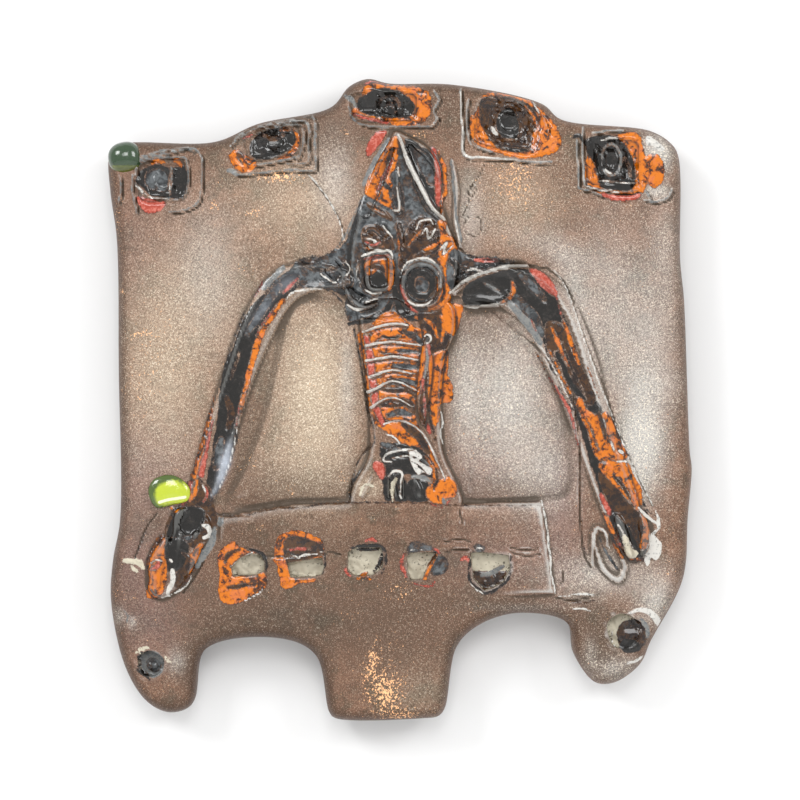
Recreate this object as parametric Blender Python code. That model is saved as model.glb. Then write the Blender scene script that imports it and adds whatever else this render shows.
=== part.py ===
"""Ceramic wall sculpture: a thick clay slab with a standing figure in relief, and two drops of glass on it.

The slab hangs on a wall. X runs to the right, Z runs up, and the front looks along -Y. The back lies in the
plane y = 0, with the origin at its middle. Free-form points are hundredths of the slab's height from there.
"""

import bmesh
import bpy
import numpy as np

# Slab, in metres
SLAB_HEIGHT = 0.300
SLAB_THICKNESS = 0.020
FRONT_ROUND_WIDTH = 0.0055
FRONT_ROUND_DEPTH = 0.0090
BACK_ROUND = 0.0018
NAIL_HOLE_DIAMETER = 0.0100
NAIL_HOLE_DEPTH = 0.0110
NAIL_HOLE = (0.0, 34.0)

# Heights of the relief over the slab's face
BAND_RISE = 0.0017
HEAD_RISE = 0.0024
TORSO_RISE = 0.0020
ARM_RISE = 0.0027
HAND_RISE = 0.0024
FINGER_RISE = 0.0034
EYE_RING_RISE = 0.0046
RIB_RISE = 0.0034
ROLL_RISE = 0.0046
HOOD_RIDGE_RISE = 0.0048
NOSE_RISE = 0.0038
TOE_RISE = 0.0034
LIP_RISE = 0.0014
SHOULDER = 0.0010
ROOT = 0.0025

# Widths of the raised lines
RIB_WIDTH = 0.0026
EYE_RING_WIDTH = 0.0034
HOOD_RIDGE_WIDTH = 0.0030
NOSE_WIDTH = 0.0022
LIP_WIDTH = 0.0020
ARM_LIP_WIDTH = 0.0016

# Sunk parts
ARM_TROUGH_DEPTH = 0.0022
FLAP_DEPTH = 0.0024
FACE_STRIP_DEPTH = 0.0016
COLLAR_DEPTH = 0.0020
LINE_WIDTH = 0.0014
LINE_DEPTH = 0.0012
STAMP_STEP = 0.0013
STAMP_STEP_WIDTH = 0.0026
STAMP_LINE_GAP = 0.0038
WINDOW_DEPTH = 0.0062
LEG_HOLE_DEPTH = 0.0080
LEFT_LEG_HOLE_DIAMETER = 0.0124
RIGHT_LEG_HOLE_DIAMETER = 0.0164

# Glass drops
SIDE_DROP_RISE = 0.0032
SIDE_DROP_SINK = 0.0014
CORNER_DROP_WIDTH = 0.0158
CORNER_DROP_HEIGHT = 0.0150
CORNER_DROP_DEPTH = 0.0124
CORNER_DROP_SUNK = 0.22
DROP_GAP = 0.0003

# How far a cutter stands clear of the face it cuts
CLEAR = 0.010

# Numbers of points round and along the shapes
ROUND_STATIONS = 5
OVAL_POINTS = 16
ARM_POINTS = 7
LINE_POINTS = 5
LINE_STEPS = 3

# Free-form outline of the slab, clockwise from the top left corner
OUTLINE = [
    (-45.4, 38.0), (-44.2, 39.7), (-28.9, 40.2), (-22.2, 43.0), (-10.8, 45.6), (-8.0, 48.8), (-5.1, 50.0),
    (-1.8, 49.3), (8.2, 49.1), (22.1, 46.1), (25.0, 43.7), (38.9, 41.9), (42.2, 39.9), (43.3, 38.0),
    (43.6, 21.8), (44.2, 15.5), (45.1, -8.1), (45.4, -10.6), (44.8, -18.1), (44.0, -27.9), (39.0, -37.6),
    (37.3, -41.2), (33.4, -44.0), (30.3, -44.0), (27.0, -39.5), (26.0, -34.8), (18.6, -33.2), (12.4, -35.0),
    (8.8, -38.4), (6.9, -48.1), (5.9, -49.3), (3.9, -49.6), (-10.2, -49.6), (-11.1, -48.7), (-13.2, -39.8),
    (-18.6, -37.2), (-30.4, -38.9), (-32.5, -47.5), (-35.9, -48.7), (-39.4, -47.1), (-42.8, -41.8),
    (-45.1, -31.3), (-44.8, -25.0), (-43.7, -18.7), (-43.9, 4.6), (-44.2, 24.9), (-45.2, 32.4),
]

# Hooded head, pointed at the top
HEAD = [
    (-0.9, 41.8), (1.4, 41.0), (4.4, 39.2), (6.2, 36.2), (6.7, 30.0), (8.6, 24.5), (9.2, 20.6), (7.2, 14.6),
    (2.8, 13.4), (-4.4, 15.4), (-7.5, 17.2), (-8.0, 21.4), (-6.8, 28.0), (-3.9, 36.2), (-2.1, 39.6),
]
TORSO = [
    (-6.2, 15.6), (0.5, 16.2), (7.8, 15.2), (8.6, 10.8), (7.0, 6.6), (6.4, -2.2), (6.8, -8.2), (9.2, -13.6),
    (9.6, -16.4), (-7.9, -16.4), (-7.6, -13.8), (-5.0, -8.6), (-5.2, 0.6), (-6.0, 8.6),
]
HOOD_RIDGE = [(-0.4, 40.8), (0.9, 35.2), (3.3, 30.2), (6.5, 27.8)]
FLAP = [(1.6, 39.0, 0.5), (3.6, 35.8, 1.3), (5.2, 32.2, 1.2), (6.0, 29.2, 0.4)]
FACE_STRIP = [(-1.3, 38.8, 0.4), (-3.0, 34.8, 0.9), (-4.8, 31.4, 1.3), (-5.4, 28.8, 0.8)]
NOSE = [(-0.5, 32.0), (-0.4, 28.8)]
BROWS = [[(-3.6, 27.2), (-2.4, 25.6)], [(-5.8, 23.0), (-3.4, 24.0)], [(1.6, 26.6), (3.4, 24.4), (5.2, 25.8)]]

# Eye rings: middle, half width, half height, and how square each is
EYE_RINGS = [((-3.3, 19.9), 1.9, 2.9, 3.4), ((3.3, 17.8), 2.9, 3.2, 2.2)]

# Collar sunk below the left eye
COLLAR = [(-7.4, 13.4, 0.6), (-4.6, 13.9, 1.3), (-1.4, 14.3, 1.5), (0.8, 14.0, 0.7)]

# Ribs: the left end, the crown and the right end of each
RIBS = [
    [(-5.8, 10.6), (-1.5, 11.8), (1.2, 11.6)],
    [(-5.5, 8.4), (-1.5, 9.0), (3.2, 8.4)],
    [(-5.4, 6.0), (-1.1, 6.7), (2.7, 6.2)],
    [(-4.9, 3.5), (-1.2, 4.6), (2.3, 4.0)],
    [(-5.1, 1.1), (-1.2, 2.9), (2.7, 1.4)],
    [(-4.6, -1.2), (-1.5, 0.4), (2.0, -1.1)],
    [(-2.3, -3.2), (0.8, -3.3), (3.3, -5.0), (4.9, -7.7), (6.3, -10.8)],
]
ROLL = [(4.2, 9.6, 0.9), (3.9, 5.4, 1.3), (3.6, 0.8, 1.3), (3.6, -3.8, 0.8)]
TOES = [[(-4.4, -11.6), (-4.2, -15.2)], [(-1.9, -11.6), (-2.0, -15.4)], [(0.3, -11.8), (0.4, -15.2)]]
WAIST = [(-2.6, -8.4), (-0.6, -7.6), (2.8, -8.2), (5.0, -10.2)]

# Arms: points along the middle, each with the half width there
LEFT_ARM = [
    (-7.4, 18.2, 2.6), (-10.6, 18.9, 1.9), (-13.8, 19.0, 2.2), (-17.1, 18.0, 2.6), (-20.0, 15.0, 2.6),
    (-22.5, 10.3, 2.5), (-24.5, 5.1, 2.3), (-26.4, -0.4, 2.2), (-28.0, -5.8, 2.2), (-29.6, -11.0, 2.1),
    (-31.4, -16.4, 2.1), (-32.6, -19.4, 2.2),
]
RIGHT_ARM = [
    (8.4, 16.6, 1.6), (12.4, 17.4, 2.5), (15.6, 17.7, 3.2), (19.0, 16.8, 3.9), (22.6, 14.2, 4.1),
    (24.9, 10.0, 4.0), (26.8, 5.3, 3.8), (28.6, 0.0, 3.4), (30.3, -5.5, 3.1), (32.1, -11.0, 3.0),
    (34.0, -16.4, 3.0), (35.6, -21.2, 2.8), (36.6, -24.0, 2.4),
]
RIGHT_TROUGH = [
    (9.6, 16.2, 0.9), (12.4, 17.2, 1.8), (16.3, 17.5, 2.4), (20.2, 15.8, 3.0), (23.0, 12.1, 3.0),
    (24.9, 7.8, 2.8), (26.8, 2.3, 2.6), (29.2, -3.9, 2.2), (31.6, -10.2, 2.3), (33.6, -15.6, 2.3),
    (35.3, -20.4, 2.0), (36.4, -23.8, 1.2),
]
RIGHT_ARM_LINE = [(27.3, -3.2), (27.0, -11.5), (27.3, -20.4), (28.4, -25.2)]

# Hands
LEFT_PALM = [
    (-34.8, -17.0), (-30.2, -17.6), (-29.2, -20.4), (-31.6, -24.6), (-33.6, -28.6), (-37.6, -31.0),
    (-39.2, -29.4), (-38.2, -24.8), (-35.8, -21.6),
]
LEFT_FINGERS = [
    [(-36.2, -21.4, 0.9), (-37.8, -25.6, 1.3), (-38.0, -29.6, 0.8)],
    [(-34.0, -20.8, 0.9), (-34.9, -25.0, 1.4), (-35.4, -29.0, 0.6)],
    [(-31.6, -20.6, 0.9), (-32.2, -24.0, 1.1), (-33.6, -27.4, 0.6)],
]
RIGHT_FINGERS = [
    [(33.6, -18.0, 0.8), (34.9, -21.6, 0.9), (35.9, -24.6, 0.5)],
    [(37.2, -17.6, 0.8), (38.0, -21.4, 0.9), (37.6, -24.4, 0.5)],
]
THUMB_LOOP = [(29.8, -26.2), (29.6, -22.0), (30.4, -19.6), (31.6, -20.6), (32.6, -23.4)]
THUMB_LEAF = [(30.0, -22.2), (31.8, -26.6), (34.2, -27.8), (34.4, -25.4)]

# Lower band: a plate laid over the slab, proud at its top edge and right end
BAND_TOP_LEFT = (-28.0, -18.4)
BAND_TOP = [(-25.0, -17.7), (-20.4, -16.7), (-15.6, -16.1), (-3.2, -15.9), (7.8, -16.1)]
BAND_TOP_RIGHT = (21.9, -15.7)
BAND_BOTTOM_RIGHT = (23.9, -30.2)
BAND_BOTTOM_LEFT = (-28.6, -31.6)
BAND_LINE = [(-27.4, -23.4), (-14.0, -23.2), (0.0, -23.0), (10.0, -22.6), (21.0, -23.4)]
LEG_LINE = [(24.0, -30.6), (26.8, -31.2), (29.6, -30.4)]

# Windows in the band: middle, half width and half height
WINDOWS = [
    ((-23.8, -25.7), 2.6, 1.8), ((-14.8, -25.8), 2.9, 1.9), ((-5.5, -25.3), 2.9, 2.7),
    ((3.3, -25.2), 2.3, 2.6), ((13.7, -25.6), 3.0, 3.1),
]
LEG_HOLES = [((-38.8, -41.0), LEFT_LEG_HOLE_DIAMETER), ((34.7, -35.9), RIGHT_LEG_HOLE_DIAMETER)]

# Stamps along the top edge: middle, half width and half height of the pit, tilt in degrees, and how many of
# the oval's points the line round it follows, from its right side down, to the left and up
STAMPS = [
    ((-37.0, 34.0), 4.0, 3.4, 2.0, OVAL_POINTS), ((-19.8, 40.0), 4.6, 2.8, 10.0, OVAL_POINTS),
    ((-2.6, 45.4), 5.4, 2.5, 1.0, 0), ((16.6, 42.4), 5.2, 3.8, -12.0, 9), ((33.0, 36.8), 4.2, 4.0, -6.0, 10),
]
STAMP_STEPS = 3

# Glass drops
SIDE_DROP = [
    (-39.2, -14.2), (-38.4, -12.4), (-36.2, -11.6), (-34.2, -12.1), (-32.6, -13.9), (-32.9, -15.6),
    (-35.2, -16.3), (-38.0, -16.7),
]
CORNER_DROP = (-42.8, 37.6)

# Colours, roughness and metallic value of each material
CLAY_GLAZE = ((0.262, 0.190, 0.152), 0.42, 0.35)
GREEN_GLASS = ((0.030, 0.085, 0.030), 0.10, 0.0)
YELLOW_GLASS = ((0.520, 0.640, 0.050), 0.12, 0.0)


def place(points):
    """Turns hundredths of the slab's height into metres, and leaves any third value a length too."""
    return np.asarray(points, float) * SLAB_HEIGHT / 100


def smooth(points, steps, closed=False):
    """Centripetal Catmull-Rom curve through the points, with a number of steps between each two."""
    points = np.asarray(points, float)
    if closed:
        before, here = np.roll(points, 1, 0), points
        after, later = np.roll(points, -1, 0), np.roll(points, -2, 0)
    else:
        first = 2 * points[0] - points[1]
        last = 2 * points[-1] - points[-2]
        held = np.vstack([first, points, last])
        before, here, after, later = held[:-3], held[1:-2], held[2:-1], held[3:]
    knots = [np.zeros((len(here), 1))]
    for start, end in ((before, here), (here, after), (after, later)):
        knots.append(knots[-1] + np.linalg.norm(end - start, axis=1)[:, None] ** 0.5)
    k0, k1, k2, k3 = knots
    rows = []
    for share in np.arange(steps) / steps:
        k = k1 + (k2 - k1) * share
        a = ((k1 - k) * before + (k - k0) * here) / (k1 - k0)
        b = ((k2 - k) * here + (k - k1) * after) / (k2 - k1)
        c = ((k3 - k) * after + (k - k2) * later) / (k3 - k2)
        d = ((k2 - k) * a + (k - k0) * b) / (k2 - k0)
        e = ((k3 - k) * b + (k - k1) * c) / (k3 - k1)
        rows.append(((k2 - k) * d + (k - k1) * e) / (k2 - k1))
    curve = np.stack(rows, 1).reshape(-1, points.shape[1])
    return curve if closed else np.vstack([curve, points[-1]])


def thin(curve, reach, bend):
    """Keeps the points of a closed curve that a stretch of the given reach or turn in degrees needs."""
    kept = [0]
    turned = 0.0
    for index in range(1, len(curve)):
        ahead = curve[(index + 1) % len(curve)] - curve[index]
        behind = curve[index] - curve[index - 1]
        cross = behind[0] * ahead[1] - behind[1] * ahead[0]
        turned += abs(np.degrees(np.arctan2(cross, behind @ ahead)))
        if turned > bend or np.linalg.norm(curve[index] - curve[kept[-1]]) > reach:
            kept.append(index)
            turned = 0.0
    return curve[kept]


def inset(loop, distance, steps=10):
    """Moves a clockwise closed loop inwards by small steps, and keeps the shares of its points' spacing."""
    gap = np.linalg.norm(loop - np.roll(loop, 1, 0), axis=1)
    share = (gap / (gap + np.roll(gap, -1)))[:, None]
    for _ in range(steps):
        forward = np.roll(loop, -1, 0) - loop
        forward /= np.linalg.norm(forward, axis=1)[:, None]
        along = forward + np.roll(forward, 1, 0)
        along /= np.linalg.norm(along, axis=1)[:, None]
        loop = loop + np.stack([along[:, 1], -along[:, 0]], 1) * distance / steps
        before, after = np.roll(loop, 1, 0), np.roll(loop, -1, 0)
        slip = before + (after - before) * share - loop
        loop = loop + along * (slip * along).sum(1)[:, None] * 0.5
    return loop


def oval(middle, half_width, half_height, squareness=2.0, tilt=0.0, count=OVAL_POINTS):
    """Clockwise superellipse: round at a squareness of 2, and nearly a rectangle at 6."""
    turn = -np.arange(count) / count * 2 * np.pi + np.pi / count
    power = 2 / squareness
    across = half_width * np.sign(np.cos(turn)) * np.abs(np.cos(turn)) ** power
    up = half_height * np.sign(np.sin(turn)) * np.abs(np.sin(turn)) ** power
    angle = np.radians(tilt)
    return np.stack([
        middle[0] + across * np.cos(angle) - up * np.sin(angle),
        middle[1] + across * np.sin(angle) + up * np.cos(angle),
    ], 1)


def level(loop, rise):
    """Puts a flat loop at a height over the slab's face."""
    return np.stack([loop[:, 0], np.full(len(loop), -SLAB_THICKNESS - rise), loop[:, 1]], 1)


def material(name, look):
    """Makes a plain material from a colour, a roughness and a metallic value."""
    colour, roughness, metallic = look
    made = bpy.data.materials.new(name)
    made.use_nodes = True
    shader = made.node_tree.nodes["Principled BSDF"]
    shader.inputs["Base Color"].default_value = (*colour, 1.0)
    shader.inputs["Roughness"].default_value = roughness
    shader.inputs["Metallic"].default_value = metallic
    return made


def loft(name, rings, ends=True):
    """Closed body through rings of equal length, with flat ends, or joined back on itself."""
    shape = bmesh.new()
    rows = [[shape.verts.new(point) for point in ring] for ring in rings]
    pairs = list(zip(rows, rows[1:]))
    if not ends:
        pairs.append((rows[-1], rows[0]))
    for low, high in pairs:
        for index in range(len(low)):
            after = (index + 1) % len(low)
            shape.faces.new((low[index], low[after], high[after], high[index]))
    if ends:
        shape.faces.new(rows[0])
        shape.faces.new(rows[-1])
    shape.normal_update()
    bmesh.ops.triangulate(shape, faces=shape.faces)
    bmesh.ops.recalc_face_normals(shape, faces=shape.faces)
    mesh = bpy.data.meshes.new(name)
    shape.to_mesh(mesh)
    shape.free()
    made = bpy.data.objects.new(name, mesh)
    bpy.context.scene.collection.objects.link(made)
    return made


def shade(made, look, sharp_angle=0.6):
    """Shades an object smooth except across sharp edges, and gives it its material."""
    made.data.shade_smooth()
    made.data.set_sharp_from_angle(angle=sharp_angle)
    made.data.materials.append(look)


def guide(made):
    """Marks an object as one that only shapes another."""
    made.hide_render = True
    made.display_type = 'WIRE'
    return made


def shape_with(body, tool, operation):
    """Joins a guide to a body or cuts it away."""
    change = body.modifiers.new(f"{operation.lower()}_{tool.name}", 'BOOLEAN')
    change.object = guide(tool)
    change.operation = operation
    change.solver = 'EXACT'


def plate(name, outline, rise):
    """Low plate on the face with a soft shoulder."""
    return loft(name, [
        level(outline, -ROOT), level(outline, rise - SHOULDER),
        level(inset(outline, SHOULDER * 0.4), rise - SHOULDER * 0.3), level(inset(outline, SHOULDER), rise),
    ])


def sections(path, half_widths, across, heights, closed=False):
    """Rings square to a path on the face, their points given across the path and in height over the face."""
    if closed:
        along = np.roll(path, -1, 0) - np.roll(path, 1, 0)
    else:
        along = np.gradient(path, axis=0)
    along = along / np.linalg.norm(along, axis=1)[:, None]
    side = np.stack([along[:, 1], -along[:, 0]], 1)
    rings = []
    for point, sideways, half, tall in zip(path, side, half_widths, heights):
        flat = point + sideways * (across * half)[:, None]
        rings.append(np.stack([flat[:, 0], -SLAB_THICKNESS - tall, flat[:, 1]], 1))
    return rings


def fading(count):
    """Shares of the full size along a line whose two ends are blunt points."""
    share = np.linspace(-1, 1, count)
    return np.sqrt(np.clip(1 - share ** 6, 0.12, 1))


def bar(name, path, half_widths, rise, closed=False, count=LINE_POINTS):
    """Raised line of half-round section that runs along a path and fades at its ends."""
    turn = np.linspace(0, np.pi, count)
    across = np.concatenate([[-1], -np.cos(turn), [1]])
    fade = np.ones(len(path)) if closed else fading(len(path))
    heights = [np.concatenate([[-ROOT], np.sin(turn) * rise * f, [-ROOT]]) for f in fade]
    return loft(name, sections(path, half_widths * fade, across, heights, closed), ends=not closed)


def trough(name, path, half_widths, top, depth, closed=False, count=LINE_POINTS):
    """Cutter with upright walls and a rounded floor: it reaches a depth below the given top."""
    turn = np.linspace(0, np.pi, count)
    across = np.concatenate([[1.0], np.cos(turn), [-1.0]])
    heights = np.concatenate([[top + CLEAR], top - (0.6 + 0.4 * np.sin(turn)) * depth, [top + CLEAR]])
    return loft(name, sections(path, half_widths, across, [heights] * len(path), closed), ends=not closed)


def pit(name, loop, depth):
    """Cutter with upright walls and a flat floor."""
    return loft(name, [level(loop, -depth), level(loop, CLEAR)])


def stations(points, steps):
    """Smooth path and half widths from points that each carry a half width."""
    curve = smooth(place(points), steps)
    return curve[:, :2], curve[:, 2]


def build_slab():
    """Slab with rounded front edges, made from its outline in rings from the back to the face."""
    outline = thin(smooth(place(OUTLINE), 8, closed=True), SLAB_HEIGHT * 0.045, 14.0)
    rings = [
        level(inset(outline, BACK_ROUND), -SLAB_THICKNESS),
        level(outline, BACK_ROUND - SLAB_THICKNESS),
    ]
    for turn in np.linspace(0, np.pi / 2, ROUND_STATIONS):
        drop = FRONT_ROUND_DEPTH * (1 - np.sin(turn))
        rings.append(level(inset(outline, FRONT_ROUND_WIDTH * (1 - np.cos(turn))), -drop))
    return loft("ceramic_slab", rings)


def add_band(slab):
    """Plate over the lower slab: its top edge and right end stand proud, and it fades out downwards."""
    top = smooth(place([BAND_TOP_LEFT, *BAND_TOP, BAND_TOP_RIGHT]), 2)
    low = place([BAND_BOTTOM_RIGHT, BAND_BOTTOM_LEFT])
    outline = np.vstack([top, low])
    fade = np.concatenate([np.ones(len(top)), [0.3, -0.6]])
    proud = level(outline, 0)
    proud[:, 1] -= BAND_RISE * fade
    shape_with(slab, loft("lower_band", [level(outline, -ROOT * 1.4), proud]), 'UNION')


def add_figure(slab):
    """Head, torso, ribs, roll, toes, eye rings and arms of the figure."""
    shape_with(slab, plate("torso", smooth(place(TORSO), 2, closed=True), TORSO_RISE), 'UNION')
    shape_with(slab, plate("head", smooth(place(HEAD), 3, closed=True), HEAD_RISE), 'UNION')
    for name, points in (("left_arm", LEFT_ARM), ("right_arm", RIGHT_ARM)):
        path, halves = stations(points, 2)
        shape_with(slab, bar(name, path, halves, ARM_RISE, count=ARM_POINTS), 'UNION')
    shape_with(slab, plate("left_palm", smooth(place(LEFT_PALM), 2, closed=True), HAND_RISE), 'UNION')


def cut_troughs(slab):
    """Channels of the arms, the flap and the strip of the hood, and the collar."""
    path, halves = stations(LEFT_ARM[1:], 2)
    halves = (halves - ARM_LIP_WIDTH) * fading(len(path))
    cutter = trough("left_arm_trough", path, halves, ARM_RISE, ARM_TROUGH_DEPTH, count=ARM_POINTS)
    shape_with(slab, cutter, 'DIFFERENCE')
    path, halves = stations(RIGHT_TROUGH, 2)
    cutter = trough("right_arm_trough", path, halves, ARM_RISE, ARM_TROUGH_DEPTH, count=ARM_POINTS)
    shape_with(slab, cutter, 'DIFFERENCE')
    path, halves = stations(FLAP, LINE_STEPS)
    shape_with(slab, trough("hood_flap", path, halves, HEAD_RISE, FLAP_DEPTH), 'DIFFERENCE')
    path, halves = stations(FACE_STRIP, LINE_STEPS)
    shape_with(slab, trough("hood_strip", path, halves, HEAD_RISE, FACE_STRIP_DEPTH), 'DIFFERENCE')
    path, halves = stations(COLLAR, LINE_STEPS)
    shape_with(slab, trough("collar", path, halves, HEAD_RISE, COLLAR_DEPTH), 'DIFFERENCE')


def add_lines(slab):
    """Raised lines: ribs, roll, toes, hood ridge, nose, brows, fingers, eye rings and the thumb's loops."""
    lines = [("hood_ridge", HOOD_RIDGE, HOOD_RIDGE_WIDTH, HOOD_RIDGE_RISE)]
    lines += [("nose", NOSE, NOSE_WIDTH, NOSE_RISE), ("waist", WAIST, HOOD_RIDGE_WIDTH, TOE_RISE)]
    lines += [(f"brow_{number}", brow, NOSE_WIDTH, NOSE_RISE) for number, brow in enumerate(BROWS, 1)]
    lines += [(f"rib_{number}", rib, RIB_WIDTH, RIB_RISE) for number, rib in enumerate(RIBS, 1)]
    lines += [(f"toe_{number}", toe, NOSE_WIDTH, TOE_RISE) for number, toe in enumerate(TOES, 1)]
    lines += [("thumb_loop", THUMB_LOOP, LIP_WIDTH, LIP_RISE)]
    lines += [("thumb_leaf", THUMB_LEAF, LIP_WIDTH, LIP_RISE)]
    for name, points, width, rise in lines:
        path = smooth(place(points), LINE_STEPS)
        shape_with(slab, bar(name, path, np.full(len(path), width / 2), rise), 'UNION')
    rolls = [("roll", ROLL, ROLL_RISE)]
    for hand, fingers in (("left", LEFT_FINGERS), ("right", RIGHT_FINGERS)):
        for number, finger in enumerate(fingers, 1):
            rolls.append((f"{hand}_finger_{number}", finger, FINGER_RISE))
    for name, points, rise in rolls:
        path, halves = stations(points, LINE_STEPS)
        shape_with(slab, bar(name, path, halves, rise), 'UNION')
    for number, (middle, half_width, half_height, squareness) in enumerate(EYE_RINGS, 1):
        loop = oval(place(middle), *place([half_width, half_height]), squareness)
        widths = np.full(len(loop), EYE_RING_WIDTH / 2)
        ring = bar(f"eye_ring_{number}", loop, widths, EYE_RING_RISE, closed=True)
        shape_with(slab, ring, 'UNION')


def cut_grooves(slab):
    """Incised lines of the band, the right arm and the right leg."""
    for name, points, top in (
        ("band_line", BAND_LINE, BAND_RISE * 0.5), ("right_arm_line", RIGHT_ARM_LINE, 0),
        ("leg_line", LEG_LINE, 0),
    ):
        path = smooth(place(points), LINE_STEPS)
        cutter = trough(name, path, np.full(len(path), LINE_WIDTH / 2), top, LINE_DEPTH)
        shape_with(slab, cutter, 'DIFFERENCE')


def cut_stamps(slab):
    """Stepped square pits along the top edge, most with an incised square line round them."""
    for number, (middle, half_width, half_height, tilt, followed) in enumerate(STAMPS, 1):
        middle = place(middle)
        half_width, half_height = place([half_width, half_height])
        rings = []
        for step in range(STAMP_STEPS):
            inwards = step * STAMP_STEP_WIDTH
            across, up = half_width - inwards, half_height - inwards * half_height / half_width
            loop = oval(middle, across, up, 5.0, tilt)
            rings.append(level(loop, CLEAR if step == 0 else -step * STAMP_STEP))
            rings.append(level(loop, -(step + 1) * STAMP_STEP))
        shape_with(slab, loft(f"stamp_{number}", rings[::-1]), 'DIFFERENCE')
        if followed:
            across, up = half_width + STAMP_LINE_GAP, half_height + STAMP_LINE_GAP
            loop = oval(middle, across, up, 9.0, tilt)[1:followed]
            widths = np.full(len(loop), LINE_WIDTH / 2)
            closed = followed == OVAL_POINTS
            line = trough(f"stamp_line_{number}", loop, widths, 0, LINE_DEPTH, closed, count=3)
            shape_with(slab, line, 'DIFFERENCE')


def cut_holes(slab):
    """Five square windows in the band, a round hole in each leg, and the nail hole in the back."""
    for number, (middle, half_width, half_height) in enumerate(WINDOWS, 1):
        loop = oval(place(middle), *place([half_width, half_height]), 4.5)
        shape_with(slab, pit(f"window_{number}", loop, WINDOW_DEPTH), 'DIFFERENCE')
    for number, (middle, diameter) in enumerate(LEG_HOLES, 1):
        loop = oval(place(middle), diameter / 2, diameter / 2)
        shape_with(slab, pit(f"leg_hole_{number}", loop, LEG_HOLE_DEPTH), 'DIFFERENCE')
    nail = oval(place(NAIL_HOLE), NAIL_HOLE_DIAMETER / 2, NAIL_HOLE_DIAMETER / 2)
    rings = [level(nail, -SLAB_THICKNESS - CLEAR), level(nail, NAIL_HOLE_DEPTH - SLAB_THICKNESS)]
    shape_with(slab, loft("nail_hole", rings), 'DIFFERENCE')


def drop_rings(loop, rise, sink):
    """Rings of a round-topped drop: a flat underside sunk in the face, and a dome over it."""
    middle = loop.mean(0)
    rings = [level(middle + (loop - middle) * 0.86, -sink), level(loop, -sink * 0.4)]
    for turn in np.linspace(0.12, 0.42, 4) * np.pi:
        rings.append(level(middle + (loop - middle) * np.cos(turn) ** 0.7, np.sin(turn) * rise))
    return rings


def build_side_drop(slab):
    """Flat round drop of glass beside the left hand, in a seat cut into the slab."""
    loop = smooth(place(SIDE_DROP), 2, closed=True)
    drop = loft("yellow_green_glass_drop", drop_rings(loop, SIDE_DROP_RISE, SIDE_DROP_SINK))
    seat = pit("side_drop_seat", inset(loop, -DROP_GAP), SIDE_DROP_SINK + DROP_GAP)
    shape_with(slab, seat, 'DIFFERENCE')
    return drop


def blob(name, grow):
    """Ball of glass over the slab's top left corner, squashed to its three sizes."""
    across, up = place(CORNER_DROP)
    rings = []
    for turn in np.linspace(-0.42, 0.42, 7) * np.pi:
        reach = np.cos(turn)
        half_width = (CORNER_DROP_WIDTH / 2 + grow) * reach
        half_height = (CORNER_DROP_HEIGHT / 2 + grow) * reach
        loop = oval((across, up), half_width, half_height, 2.3, 12.0)
        proud = np.sin(turn) * (CORNER_DROP_DEPTH / 2 + grow) - CORNER_DROP_DEPTH * CORNER_DROP_SUNK
        rings.append(level(loop, proud))
    return loft(name, rings)


def build_corner_drop(slab):
    """Drop of glass that wraps the top left corner, in a seat cut into the slab."""
    shape_with(slab, blob("corner_drop_seat", DROP_GAP), 'DIFFERENCE')
    return blob("dark_green_glass_drop", 0.0)


def main():
    for old in list(bpy.data.objects):
        bpy.data.objects.remove(old)
    slab = build_slab()
    add_band(slab)
    add_figure(slab)
    cut_troughs(slab)
    add_lines(slab)
    cut_grooves(slab)
    cut_stamps(slab)
    cut_holes(slab)
    side_drop = build_side_drop(slab)
    corner_drop = build_corner_drop(slab)
    shade(slab, material("clay_glaze", CLAY_GLAZE))
    shade(side_drop, material("yellow_glass", YELLOW_GLASS))
    shade(corner_drop, material("green_glass", GREEN_GLASS))


main()
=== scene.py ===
"""Ceramic wall sculpture: a hand-built slab of lustre glaze, a hooded figure in relief and two glass drops.

The slab hangs against a wall. X runs to the right, Z runs up and the front looks along -Y. Points on the
face are thousandths of the slab's height from its middle, and one thousandth is 0.3 mm. Other lengths are
millimetres.
"""

from __future__ import annotations

import logging
from dataclasses import dataclass, field
from enum import Enum

import bmesh
import bpy
import numpy as np
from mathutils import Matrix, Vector
from mathutils.geometry import delaunay_2d_cdt


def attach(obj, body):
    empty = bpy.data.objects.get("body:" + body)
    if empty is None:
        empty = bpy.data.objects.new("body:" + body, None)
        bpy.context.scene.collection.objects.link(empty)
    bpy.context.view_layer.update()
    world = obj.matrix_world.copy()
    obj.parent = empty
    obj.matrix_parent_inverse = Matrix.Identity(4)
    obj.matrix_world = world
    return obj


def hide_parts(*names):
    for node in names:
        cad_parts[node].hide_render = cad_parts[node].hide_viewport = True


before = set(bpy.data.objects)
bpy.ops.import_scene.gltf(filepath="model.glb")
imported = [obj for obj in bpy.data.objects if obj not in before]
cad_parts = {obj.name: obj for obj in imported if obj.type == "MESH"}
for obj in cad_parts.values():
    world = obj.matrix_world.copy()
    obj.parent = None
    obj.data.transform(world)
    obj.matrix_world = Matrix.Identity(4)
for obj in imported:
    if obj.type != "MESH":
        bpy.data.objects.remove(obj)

log = logging.getLogger("wall_sculpture")
THOUSANDTH = 0.3
METRE = 1000.0
FAR = 8.0
TINY = 1e-9
FACE_PLANE = 20.0


class Glaze(Enum):
    """Glazes and bare clay that lie over the body glaze, each a field of distances inside its edge; the pale
    glaze is partly painted highlights and the ash glaze partly painted grey glints.
    """

    SLATE = "slate"
    DARK = "dark"
    UMBER = "umber"
    ORANGE = "orange"
    RED = "red"
    # Grey glaze, partly painted grey glints on raised lines and ridges.
    ASH_AND_GLINT = "ash_and_glint"
    # Pale glaze and crusts, partly painted highlights.
    PALE_AND_HIGHLIGHT = "pale_and_highlight"
    CLAY = "clay"


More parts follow.
